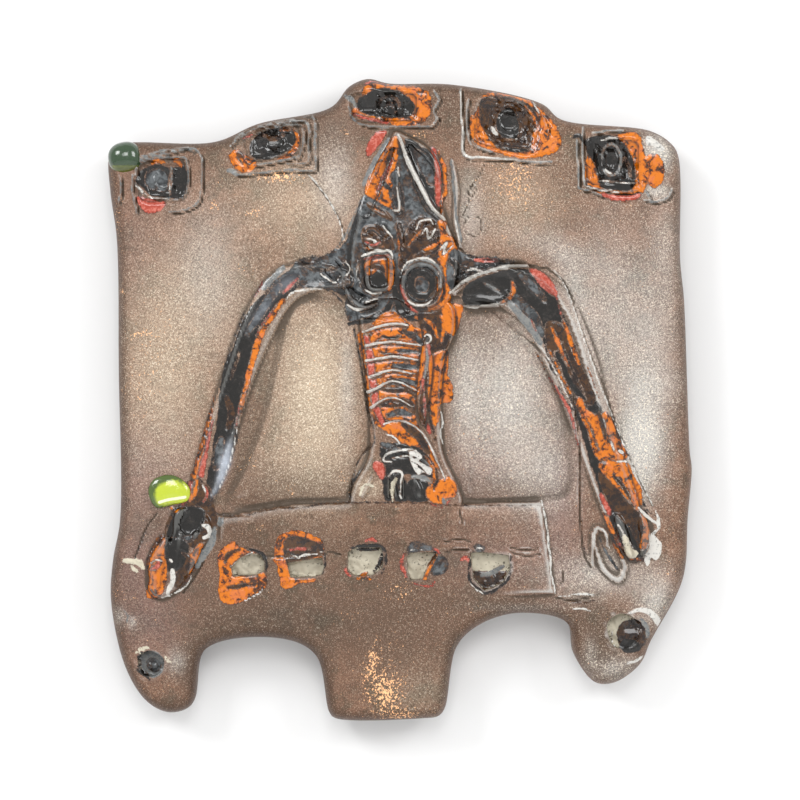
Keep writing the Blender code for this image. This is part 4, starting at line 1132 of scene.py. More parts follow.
    def paint_right_arm(self, face: Face) -> None:
        """Lays the right shoulder, the streaked glaze of the arm and the hand."""
        face.areas(SLATE, [
            [(80, 233), (102, 226), (140, 223), (180, 215), (155, 205), (124, 199), (96, 184), (80, 168),
            (71, 187)]])
        face.lines(ORANGE, [(1.1, (211, 74), (242, 9))])
        face.lines(PALE_AND_HIGHLIGHT, [
            (1.7, (219, -155), (228, -206), (236, -281), (241, -303)), (1.9, (244, -306), (286, -301),
            (302, -303))])
        face.areas(DARK, [
            [(96, 165), (111, 185), (202, 204), (227, 187), (258, 124), (267, 93), (352, -103), (370, -134),
            (383, -175), (383, -231), (373, -250), (355, -253), (342, -231), (292, -91), (280, -47),
            (249, 25), (230, 53), (224, 84), (208, 115), (180, 140), (155, 148), (99, 148)]])
        face.lines(DARK, [(6.2, (80, 215), (90, 202), (87, 187))])
        face.lines(SLATE, [
            (10.9, (174, 162), (205, 127), (217, 102)), (6.2, (186, 193), (205, 177), (224, 155))])
        face.areas(RED, [[(199, 204), (217, 201), (244, 170), (242, 160), (231, 163)]])
        face.lines(RED, [(4.1, (115, 218), (150, 216)), (1.2, (242, 162), (252, 124))])
        face.lines(PALE_AND_HIGHLIGHT, [(1.7, (102, 199), (111, 204), (124, 202))])
        face.lines(ASH_AND_GLINT, [(6.2, (168, 152), (202, 112), (217, 88)), (0.9, (130, 182), (152, 170))])
        face.areas(UMBER, [
            [(225, 118), (246, 121), (289, 34), (302, 6), (299, -7), (283, -7), (261, 6), (242, 37)]])
        face.lines(UMBER, [(1.6, (260, -312), (280, -315), (302, -311))])
        face.lines(ORANGE, [
            (4.1, (174, 182), (175, 170), (168, 157), (155, 149)), (3.7, (235, 112), (261, 53)),
            (4.1, (252, 121), (261, 102), (267, 81), (277, 56)), (1.4, (289, 53), (308, 3)),
            (0, (355, -247, 2.5), (383, -250, 3.7))])
        face.lines(DARK, [
            (1.6, (149, 219), (177, 213)), (5.3, (242, 74), (270, 18), (286, 0)), (2.2, (249, 96), (258, 68),
            (286, 9))])
        face.areas(ORANGE, [
            [(270, 3), (280, 3), (289, -13), (305, -22), (320, -19), (345, -66), (352, -91), (308, -94),
            (289, -47)]])
        face.lines(ORANGE, [(2.5, (231, 78), (258, 21), (270, 3))])
        face.lines(UMBER, [(3.7, (308, -19), (314, -38), (317, -60)), (1.6, (308, -94), (348, -95))])
        # Pale lines of the right arm, partly painted highlights, among them the light along the shoulder's
        # lip.
        face.lines(PALE_AND_HIGHLIGHT, [
            (1.6, (325, -63), (331, -80)), (3.1, (339, -80), (345, -83)), (2.3, (76, 165), (102, 187),
            (174, 209), (196, 208)), (1.6, (99, 145), (115, 143), (130, 146), (155, 148)), (1.4, (219, 84),
            (249, 28), (267, -13))])
        face.areas(ORANGE, [[(306, -100), (353, -97), (364, -119), (375, -144), (373, -169), (330, -131)]])
        face.areas(UMBER, [[(308, -113), (361, -166), (373, -191), (367, -203), (330, -172), (316, -147)]])
        face.lines(UMBER, [(2.8, (330, -116), (345, -134), (358, -156))])
        face.lines(PALE_AND_HIGHLIGHT, [
            (1.7, (336, -97), (345, -95), (352, -97)), (1.2, (236, 202), (252, 185), (292, 73), (331, -32),
            (392, -166))])
        face.lines(RED, [
            (2.2, (202, 124), (211, 106)), (4.7, (311, -147), (325, -178)), (2.8, (230, 37), (264, -22),
            (275, -69))])
        face.lines(DARK, [(1.4, (289, -28), (308, -78)), (1.2, (244, 23), (267, -18))])
        face.lines(UMBER, [(1.1, (266, 12), (277, -63), (281, -206), (288, -244))])
        face.lines(ORANGE, [(5.6, (317, -178), (344, -244))])
        face.lines(RED, [(1.6, (336, -206), (345, -240))])
        face.lines(DARK, [(5.6, (331, -183), (361, -228))])
        face.areas(ORANGE, [[(364, -166), (376, -169), (386, -219), (373, -234), (366, -219), (364, -194)]])
        face.areas(UMBER, [[(358, -169), (370, -175), (376, -203), (370, -222), (352, -187)]])
        face.areas(PALE_AND_HIGHLIGHT, [
            [(389, -209), (403, -219), (405, -237), (397, -250), (389, -244), (384, -259), (378, -250),
            (386, -228)]])
        face.lines(PALE_AND_HIGHLIGHT, [
            (2.5, (369, -167), (378, -177), (398, -192)), (2.5, (397, -172), (401, -186), (400, -201),
            (389, -211)), (1.4, (300, -216), (303, -203), (313, -201), (325, -231))])
        face.lines(SLATE, [(1.2, (373, -164), (397, -181)), (2.2, (308, -214), (317, -233), (339, -265))])
        face.areas(CLAY, [[(345, -206), (352, -212), (358, -228), (369, -237), (364, -244), (352, -244)]])
        face.lines(PALE_AND_HIGHLIGHT, [(1.1, (337, -194), (362, -230))])

    def paint_fields(self, face: Face) -> None:
        """Tints the body glaze round the figure: warm at the left, silver at the right where it is partly a
        painted sheen, dark soft edges.
        """
        face.lines(PALE_AND_HIGHLIGHT, [(1.1, (-143, 350), (-113, 311), (-91, 268), (-88, 249))])
        face.lines(SLATE, [(1.2, (-72, 110), (-49, -16), (-41, -64), (-60, -88), (-74, -122), (-79, -155))])
        face.lines(UMBER, [
            (1.6, (-284, -177), (-250, -180), (-194, -169), (-154, -167), (-119, -162), (7, -159),
            (77, -163), (217, -164))])
        face.lines(ASH_AND_GLINT, [(1.6, (-101, 233), (-88, 252), (-62, 311))])
        face.tint(TAN, [
            (-133, 15, 62, 140, 0.95), (-157, -94, 78, 62, 0.35), (-367, 31, 70, 140, 0.6),
            (-313, 155, 94, 109, 0.4), (-157, 304, 94, 70, 0.5), (178, 311, 78, 70, 0.35),
            (30, -452, 47, 47, 0.2)])
        # Silver tint, partly a painted sheen; the strongest patches at the right are the painted sheen.
        face.tint(SILVER_AND_SHEEN, [
            (-102, 343, 28, 62, 0.5), (-297, 202, 47, 94, 0.35), (168, 0, 65, 117, 0.78),
            (217, -110, 47, 62, 0.5), (376, -63, 34, 78, 1), (373, -63, 25, 62, 1), (386, 23, 44, 31, 0.55),
            (327, 124, 56, 140, 0.5), (389, 93, 41, 94, 0.5), (412, 233, 28, 78, 0.35),
            (272, 171, 22, 78, 0.45, 20), (108, 288, 22, 62, 0.4), (241, 233, 94, 22, 0.3, -20)])
        face.tint(MAUVE, [
            (-390, -110, 78, 94, 0.7), (-406, -265, 62, 62, 0.6), (249, -156, 37, 125, 0.55),
            (-406, 233, 78, 125, 0.3), (155, -250, 94, 47, 0.4), (124, -110, 47, 47, 0.4)])
        face.tint(SMOKE, [
            (-216, 31, 16, 140, 0.5, -14), (-129, 155, 56, 19, 0.45), (124, 109, 44, 34, 0.5),
            (155, -141, 94, 19, 0.35), (-375, 374, 94, 22, 0.35), (-110, 417, 62, 41, 0.6),
            (77, 452, 37, 56, 0.65), (280, 358, 47, 53, 0.35), (-172, -138, 109, 37, 0.5),
            (-244, -78, 12, 62, 0.5, -18), (30, -375, 78, 78, 0.25)])
        face.tint(COPPER, [
            (-141, 85, 41, 78, 0.22), (-375, 101, 41, 94, 0.22), (-431, 168, 6, 6, 0.9),
            (-403, 102, 16, 6, 0.8), (-440, 280, 8, 62, 0.45), (-238, -97, 16, 12, 0.4),
            (-172, -141, 12, 12, 0.45), (-87, -122, 9, 19, 0.35), (124, -63, 62, 47, 0.2),
            (-406, 15, 31, 62, 0.25), (161, 252, 6, 5, 0.9), (-219, 205, 47, 9, 0.35)])


def mesh_object(name: str, points: np.ndarray, faces: list, look: bpy.types.Material) -> bpy.types.Object:
    """Makes a smooth shaded object whose faces point outwards.

    Args:
        name: name of the piece.
        points: rows of x, y and z in metres.
        faces: rows of vertex numbers.
        look: its material.

    Returns:
        The object, in the scene.
    """
    mesh = bpy.data.meshes.new(name)
    mesh.from_pydata(points.tolist(), [], faces)
    build = bmesh.new()
    build.from_mesh(mesh)
    bmesh.ops.recalc_face_normals(build, faces=build.faces)
    build.to_mesh(mesh)
    build.free()
    mesh.materials.append(look)
    mesh.polygons.foreach_set("use_smooth", np.ones(len(mesh.polygons), bool))
    made = bpy.data.objects.new(name, mesh)
    bpy.context.scene.collection.objects.link(made)
    return made


def add_field(mesh: bpy.types.Mesh, name: str, values: np.ndarray) -> None:
    """Stores one number for each vertex under a name that the finish reads."""
    layer = mesh.attributes.new(name, 'FLOAT', 'POINT')
    layer.data.foreach_set("value", values.astype(np.float32))


def round_ties(start: int, count: int) -> list:
    """Pairs of neighbours round a loop, from the number of its first point."""
    return [(start + i, start + (i + 1) % count) for i in range(count)]


def triangulated(points: np.ndarray, ties: list, kind: int) -> tuple:
    """Triangles over flat points with the ties among their edges."""
    return delaunay_2d_cdt([Vector(point) for point in points.tolist()], ties, [], kind, 1e-7)


def strip(first: int, second: int, count: int) -> list:
    """Faces between two closed loops of equal length, from the numbers of their first vertices."""
    turn = np.arange(count)
    after = (turn + 1) % count
    return np.stack([first + turn, first + after, second + after, second + turn], 1).tolist()


@dataclass
class Slab:
    """The clay slab: a carved front, rounded edges, and a flat back with a blind nail hole."""

    thickness: float = FACE_PLANE
    round_width: float = 5.5
    round_depth: float = 9.0
    back_round: float = 1.8
    nail_radius: float = 5.0
    nail_depth: float = 11.0
    nail_place: tuple = (0, 340)
    nail_sides: int = 32
    rim_count: int = 640
    rim_inset: float = 0.9
    rim_gap: float = 0.7
    hole_gap: float = 0.42
    shoulder_shares: tuple = (0.55, 0.25, 0.06)
    side_depths: tuple = (10.2, 7.0, 4.0)
    wavering: float = 0.075
    back_shoulder: tuple = (0.6, 0.35)
    sharp_angle: float = 1.0
    swells: tuple = ((34.0, 0.45), (11.0, 0.16), (3.4, 0.05))
    thicknesses: tuple = ((ORANGE, 0.30), (DARK, 0.22), (RED, 0.22), (PALE_AND_HIGHLIGHT, 0.30), (UMBER, 0.2))
    crust: float = 0.5
    outline: list = field(default_factory=lambda: [
        (-454, 380), (-442, 397), (-289, 402), (-222, 430), (-108, 456), (-80, 488), (-51, 500), (-18, 493),
        (82, 491), (221, 461), (250, 437), (389, 419), (422, 399), (433, 380), (436, 218), (442, 155),
        (451, -81), (454, -106), (448, -181), (440, -279), (390, -376), (373, -412), (334, -440),
        (303, -440), (270, -395), (260, -348), (186, -332), (124, -350), (88, -384), (69, -481), (59, -493),
        (39, -496), (-102, -496), (-111, -487), (-132, -398), (-186, -372), (-304, -389), (-325, -475),
        (-359, -487), (-394, -471), (-428, -418), (-451, -313), (-448, -250), (-437, -187), (-439, 46),
        (-442, 249), (-452, 324),
    ])
    detail: list = field(default_factory=lambda: [
        (1.12, (-484, 530), (482, -530)), (0.9, (-440, 495), (442, 286)), (0.98, (-316, 286), (405, -331)),
        (0.74, (-419, -164), (-278, -322)), (0.64, (-87, 417), (102, -164)),
    ])

    def rim(self) -> np.ndarray:
        """The slab's outline as evenly spaced points in millimetres."""
        curve = smooth(place(self.outline), 24, ring=True)
        curve = closed(curve)
        length = np.concatenate([[0], np.cumsum(np.linalg.norm(np.diff(curve, axis=0), axis=1))])
        stops = np.linspace(0, length[-1], self.rim_count, endpoint=False)
        return np.stack([np.interp(stops, length, curve[:, 0]), np.interp(stops, length, curve[:, 1])], 1)

    def inset(self, loop: np.ndarray, distance: float) -> np.ndarray:
        """Moves the clockwise loop inwards along its normals in small steps."""
        for _ in range(10):
            along = np.roll(loop, -1, 0) - np.roll(loop, 1, 0)
            along /= np.linalg.norm(along, axis=1)[:, None]
            loop = loop + np.stack([along[:, 1], -along[:, 0]], 1) * distance / 10
            loop = loop * 0.8 + (np.roll(loop, 1, 0) + np.roll(loop, -1, 0)) * 0.1
        return loop

    def spread(self, loop: np.ndarray, holes: list[np.ndarray]) -> np.ndarray:
        """Scatters the face's points on lattices, finer over the detail.

        Args:
            loop: edge of the face, which they keep clear of.
            holes: outlines of the holes, which they keep clear of too.

        Returns:
            The points.
        """
        points = np.zeros((0, 2))
        for gap, low, high in self.detail:
            corners = np.array([place(low), place(high)])
            lower, upper = corners.min(0), corners.max(0)
            across = np.arange(lower[0], upper[0], gap)
            up = np.arange(lower[1], upper[1], gap)
            lattice = np.stack(np.meshgrid(across, up), -1).reshape(-1, 2)
            outside = ((points < lower - gap * 0.5) | (points > upper + gap * 0.1)).any(1)
            points = np.vstack([points[outside], lattice])
        points = points[inside_by(points, loop, 3.0) > self.rim_gap]
        for hole in holes:
            points = points[gap_to_line(points, closed(hole), 2.0) > self.hole_gap]
        return points

    def build(self, sections: list[Section], look: bpy.types.Material) -> bpy.types.Object:
        """Makes the whole slab with the carving and the glazes of its sections.

        Args:
            sections: parts of the carving, in the order in which they are laid.
            look: the lustre glaze.

        Returns:
            The slab.
        """
        outline = self.rim()
        edge = self.inset(outline, self.rim_inset)
        loops = []
        for section in sections:
            for loop in section.openings():
                middle = loop.mean(0)
                reach = np.linalg.norm(loop - middle, axis=1)[:, None]
                loops += [loop, middle + (loop - middle) * (reach - section.wall) / reach]
        points = self.spread(edge, loops)
        chains = [edge[::-1], *loops]
        starts = np.cumsum([0] + [len(chain) for chain in chains]).tolist()
        ties = [tie for start, chain in zip(starts, chains) for tie in round_ties(start, len(chain))]
        joined = triangulated(np.vstack([*chains, points]), ties, 1)
        flat = np.array([tuple(point) for point in joined[0]])
        faces = [list(corner) for corner in joined[2]]
        face = Face(flat)
        for section in sections:
            section.carve(face)
        for section in sections:
            section.paint(face)
        face.proud = proudness(np.maximum(face.height, -0.8), np.array(faces), 10)
        self.finish_face(face, outline)
        return self.close(face, faces, edge[::-1], outline[::-1], look)

    def finish_face(self, face: Face, outline: np.ndarray) -> None:
        """Adds the swell of the clay, the thickness of the glazes and the fall to the rounded edge."""
        here = face.points
        for seed, (size, swell) in enumerate(self.swells, 1):
            face.height += ripple(here, size, seed) * swell
        for glaze, thick in self.thicknesses:
            face.height += soft_step(face.glazes[glaze] / 0.8) * thick
        crust = soft_step(face.glazes[CLAY] / self.crust) * self.crust
        face.height += crust * (0.4 + ripple(here, 1.3, 5))
        inside = gap_to_line(here, closed(outline), 12.0)
        share = np.clip(1 - inside / self.round_width, 0, 1)
        fall = self.round_depth * (1 - np.sqrt(1 - share ** 2))
        face.height = face.height * soft_step(inside / 3.0) - fall
        face.washes[EDGE] = np.clip(1 - inside / 10.0, 0, 1)

    def close(self, face: Face, faces: list, edge: np.ndarray, outline: np.ndarray,
              look: bpy.types.Material) -> bpy.types.Object:
        """Joins the face to its rounded edge, side, back and nail hole.

        Args:
            face: the carved and glazed front.
            faces: its triangles.
            edge: loop round the front, whose points come first in the face.
            outline: the slab's outline, point for point with the edge.
            look: the lustre glaze.

        Returns:
            The slab as one closed object.
        """
        count = len(edge)
        rings = [at_depth(face.points, -self.thickness - face.height)]
        for share in self.shoulder_shares:
            turn = 1 - self.rim_inset * share / self.round_width
            drop = self.round_depth * (1 - np.sqrt(max(1 - turn ** 2, 0)))
            rings.append(at_depth(outline + (edge - outline) * share, drop - self.thickness))
        wavering = ripple(outline, 9.0, 23)[:, None] * self.wavering
        for depth in (*self.side_depths, self.back_round):
            shift = outline * (1 - 0.0015 * np.sin(depth)) + (edge - outline) * (0.1 + wavering)
            rings.append(at_depth(shift, -depth))
        inwards = (edge - outline) / self.rim_inset * self.back_round
        across, deep = self.back_shoulder
        rings.append(at_depth(outline + inwards * across, -self.back_round * deep))
        back = outline + inwards
        rings.append(at_depth(back, 0.0))
        *starts, total = np.cumsum([0] + [len(ring) for ring in rings]).tolist()
        for first, second in zip(starts, starts[1:]):
            faces += strip(first, second, count)
        middle, sides = place(self.nail_place), self.nail_sides
        turn = np.arange(sides) / sides * 2 * np.pi
        nail = np.stack([np.cos(turn), np.sin(turn)], 1) * self.nail_radius
        for depth, size in ((0.0, 1.0), (-self.nail_depth, 1.0), (-self.nail_depth, 0.001)):
            rings.append(at_depth(middle + nail * size, depth))
        faces += strip(total, total + sides, sides) + strip(total + sides, total + 2 * sides, sides)
        faces.append(list(range(total + 2 * sides, total + 3 * sides)))
        ties = round_ties(0, count) + round_ties(count, sides)
        lid = triangulated(np.vstack([back, middle + nail]), ties, 2)
        faces += [[v + starts[-1] if v < count else v - count + total for v in corner] for corner in lid[2]]
        made = mesh_object("glazed_slab", np.vstack(rings) / METRE, faces, look)
        mesh = made.data
        rest = len(mesh.vertices) - len(face.points)
        for glaze, values in face.glazes.items():
            add_field(mesh, glaze.value, np.concatenate([values, np.full(rest, -FAR)]))
        for wash, values in face.washes.items():
            side = 1.0 if wash is EDGE else 0.0
            add_field(mesh, wash.value, np.concatenate([values, np.full(rest, side)]))
        add_field(mesh, "proud", np.concatenate([face.proud, np.zeros(rest)]))
        mesh.set_sharp_from_angle(angle=self.sharp_angle)
        return made


def ringed(name: str, rings: list[np.ndarray], look: bpy.types.Material) -> tuple:
    """Makes a piece from rings of as many points each, closed by a face at both ends.

    Args:
        name: name of the piece.
        rings: rows of x, y and z of each ring in millimetres.
        look: its material.

    Returns:
        The object and the points of all its rings.
    """
    count, last = len(rings[0]), len(rings) - 1
    faces = []
    for number in range(last):
        faces += strip(number * count, (number + 1) * count, count)
    faces += [list(range(count)), list(range(last * count, (last + 1) * count))]
    points = np.vstack(rings)
    return mesh_object(name, points / METRE, faces, look), points


@dataclass
class SideDrop:
    """Flat drop of yellow-green glass beside the left hand."""

    rise: float = 3.2
    sink: float = 1.0
    outline: list = field(default_factory=lambda: [
        (-392, -142), (-384, -124), (-362, -116), (-342, -121), (-326, -139), (-329, -156), (-352, -163),
        (-380, -167),
    ])
    # Line of the painted pale highlight along the drop's lower edge.
    highlight_crescent: list = field(default_factory=lambda: [(-374, -159), (-360, -155), (-346, -153), (-334, -151)])
    highlight_crescent_reach: float = 0.9
    deep_at: float = 4.2

    def build(self, look: bpy.types.Material) -> bpy.types.Object:
        """Dome over the outline: each ring stands at cos(t) of its width and at sin(t)^0.7 of the rise."""
        loop = smooth(place(self.outline), 10, ring=True)
        middle = loop.mean(0)
        profile = [(0.80, -self.sink), (0.93, -self.sink), (0.995, -self.sink * 0.3)]
        turns = np.linspace(0.08, 0.495, 16) * np.pi
        profile += [(np.cos(turn), self.rise * np.sin(turn) ** 0.7) for turn in turns]
        rings = [at_depth(middle + (loop - middle) * share, -FACE_PLANE - rise) for share, rise in profile]
        made, stacked = ringed("yellow_green_drop", rings, look)
        here = stacked[:, [0, 2]]
        inside = gap_to_line(here, closed(loop), 12.0)
        # Darker towards the rim, more at the left and the top.
        shift = (here[:, 0] - middle[0]) * 0.16 - (here[:, 1] - middle[1]) * 0.12
        add_field(made.data, "deep", np.clip((inside + shift * 1.6) / self.deep_at, 0, 1))
        # Painted highlight: a pale crescent along the lower edge.
        gap = gap_to_line(here, smooth(place(self.highlight_crescent), 4), 9.0)
        add_field(made.data, "light", np.exp(-(gap / self.highlight_crescent_reach) ** 2))
        return made


@dataclass
class CornerDrop:
    """Drop of dark green glass that wraps the slab's top left corner."""

    width: float = 15.8
    height: float = 15.0
    depth: float = 12.4
    sunk: float = 0.22
    squareness: float = 2.3
    tilt: float = 12.0
    sides: int = 48
    middle: tuple = (-428, 376)
    fade_top: float = 370
    # Height of the painted lighter band across the drop.
    highlight_middle: float = 362

    def build(self, look: bpy.types.Material) -> bpy.types.Object:
        """Squashed ball: rings of superellipses at cos(t) of the width and sin(t) of the depth."""
        rings = []
        for turn in np.linspace(-0.48, 0.48, 26) * np.pi:
            ring = squarish(self.sides, self.width / 2, self.height / 2, self.squareness)
            ring = turned(ring * np.cos(turn) ** 0.9, self.middle, self.tilt)
            rings.append(at_depth(ring, self.depth * (self.sunk - np.sin(turn) / 2) - FACE_PLANE))
        made, stacked = ringed("dark_green_drop", rings, look)
        low = np.clip((place(self.fade_top) - stacked[:, 2]) / 5.0, 0, 1)
        add_field(made.data, "deep", 1 - low)
        # Painted highlight: a lighter band across the drop.
        add_field(made.data, "light", np.exp(-((stacked[:, 2] - place(self.highlight_middle)) / 1.6) ** 2) * 0.6)
        return made


@dataclass(frozen=True)
class Socket:
    """A value in a finish's node tree, on which plain sums can be written."""

    graph: "Graph"
    pin: bpy.types.NodeSocket

    def sum(self, operation: str, other: "Socket | float", swap: bool = False) -> "Socket":
        """One sum of this value and another."""
        values = [other, self] if swap else [self, other]
        return self.graph.node('ShaderNodeMath', {"operation": operation}, *values)

    def __add__(self, other: "Socket | float") -> "Socket":
        """This value plus another."""
        return self.sum('ADD', other)

    __radd__ = __add__

    def __sub__(self, other: "Socket | float") -> "Socket":
        """This value less another."""
        return self.sum('SUBTRACT', other)

    def __rsub__(self, other: float) -> "Socket":
        """A number less this value."""
        return self.sum('SUBTRACT', other, True)

    def __mul__(self, other: "Socket | float") -> "Socket":
        """This value times another."""
        return self.sum('MULTIPLY', other)

    __rmul__ = __mul__

    def __truediv__(self, other: "Socket | float") -> "Socket":
        """This value over another."""
        return self.sum('DIVIDE', other)

    def __rtruediv__(self, other: float) -> "Socket":
        """A number over this value."""
        return self.sum('DIVIDE', other, True)

    def most(self, other: "Socket | float") -> "Socket":
        """The larger of two values."""
        return self.sum('MAXIMUM', other)

    def ramp(self, low: float, high: float) -> "Socket":
        """Eases from 0 at the low value to 1 at the high one."""
        return self.graph.node('ShaderNodeMapRange', {"interpolation_type": 'SMOOTHSTEP'}, self, low, high)


class Graph:
    """The node tree of one finish."""

    def __init__(self, name: str) -> None:
        """Starts an empty tree."""
        self.material = bpy.data.materials.new(name)
        self.material.use_nodes = True
        self.tree = self.material.node_tree
        self.tree.nodes.clear()
        self.place = self.tree.nodes.new('ShaderNodeTexCoord').outputs["Object"]

    def node(self, kind: str, settings: dict, *values: object, output: int | str = 0,
             **named: object) -> Socket:
        """Adds any node.

        Args:
            kind: type of the node.
            settings: its own settings by name.
            values: values or sockets of its first inputs in order, None to leave one as it is.
            output: which output to return.
            named: values or sockets of further inputs, by name with _ for a space.

        Returns:
            The chosen output.
        """
        made = self.tree.nodes.new(kind)
        for name, value in settings.items():
            setattr(made, name, value)
        pairs = [(made.inputs[index], value) for index, value in enumerate(values) if value is not None]
        pairs += [(made.inputs[name.replace("_", " ")], value) for name, value in named.items()]
        for pin, value in pairs:
            self.join(value, pin)
        return Socket(self, made.outputs[output])

    def join(self, value: object, pin: bpy.types.NodeSocket) -> None:
        """Links a socket to an input, or sets the input's number."""
        if isinstance(value, Socket):
            self.tree.links.new(value.pin, pin)
        else:
            pin.default_value = value

    def noise(self, size: float, detail: float = 2.0, rough: float = 0.55, twist: float = 0.0) -> Socket:
        """Noise whose soft spots are about the given size in millimetres."""
        here = Socket(self, self.place)
        return self.node('ShaderNodeTexNoise', {}, Vector=here, Scale=METRE / size, Detail=detail,
                         Roughness=rough, Distortion=twist)

    def across(self) -> Socket:
        """Distance to the right of the middle in metres."""
        return self.node('ShaderNodeSeparateXYZ', {}, Socket(self, self.place), output="X")

    def field(self, name: str) -> Socket:
        """A number stored on the mesh."""
        return self.node('ShaderNodeAttribute', {"attribute_name": name}, output="Fac")

    def mix(self, first: object, second: object, share: Socket | float) -> Socket:
        """Mixes two colours."""
        made = self.tree.nodes.new('ShaderNodeMix')
        made.data_type = 'RGBA'
        for index, value in ((0, share), (6, first), (7, second)):
            self.join(value, made.inputs[index])
        return Socket(self, made.outputs[2])

    def bump(self, strength: float, distance: float, height: Socket) -> Socket:
        """Small relief of the surface from a height, over a distance in metres."""
        values = {"Strength": strength, "Distance": distance, "Height": height}
        return self.node('ShaderNodeBump', {}, output="Normal", **values)

    def finish(self, **named: object) -> bpy.types.Material:
        """Ends the tree in a principled surface with the given inputs."""
        surface = self.node('ShaderNodeBsdfPrincipled', {}, **named)
        self.tree.links.new(surface.pin, self.tree.nodes.new('ShaderNodeOutputMaterial').inputs[0])
        return self.material


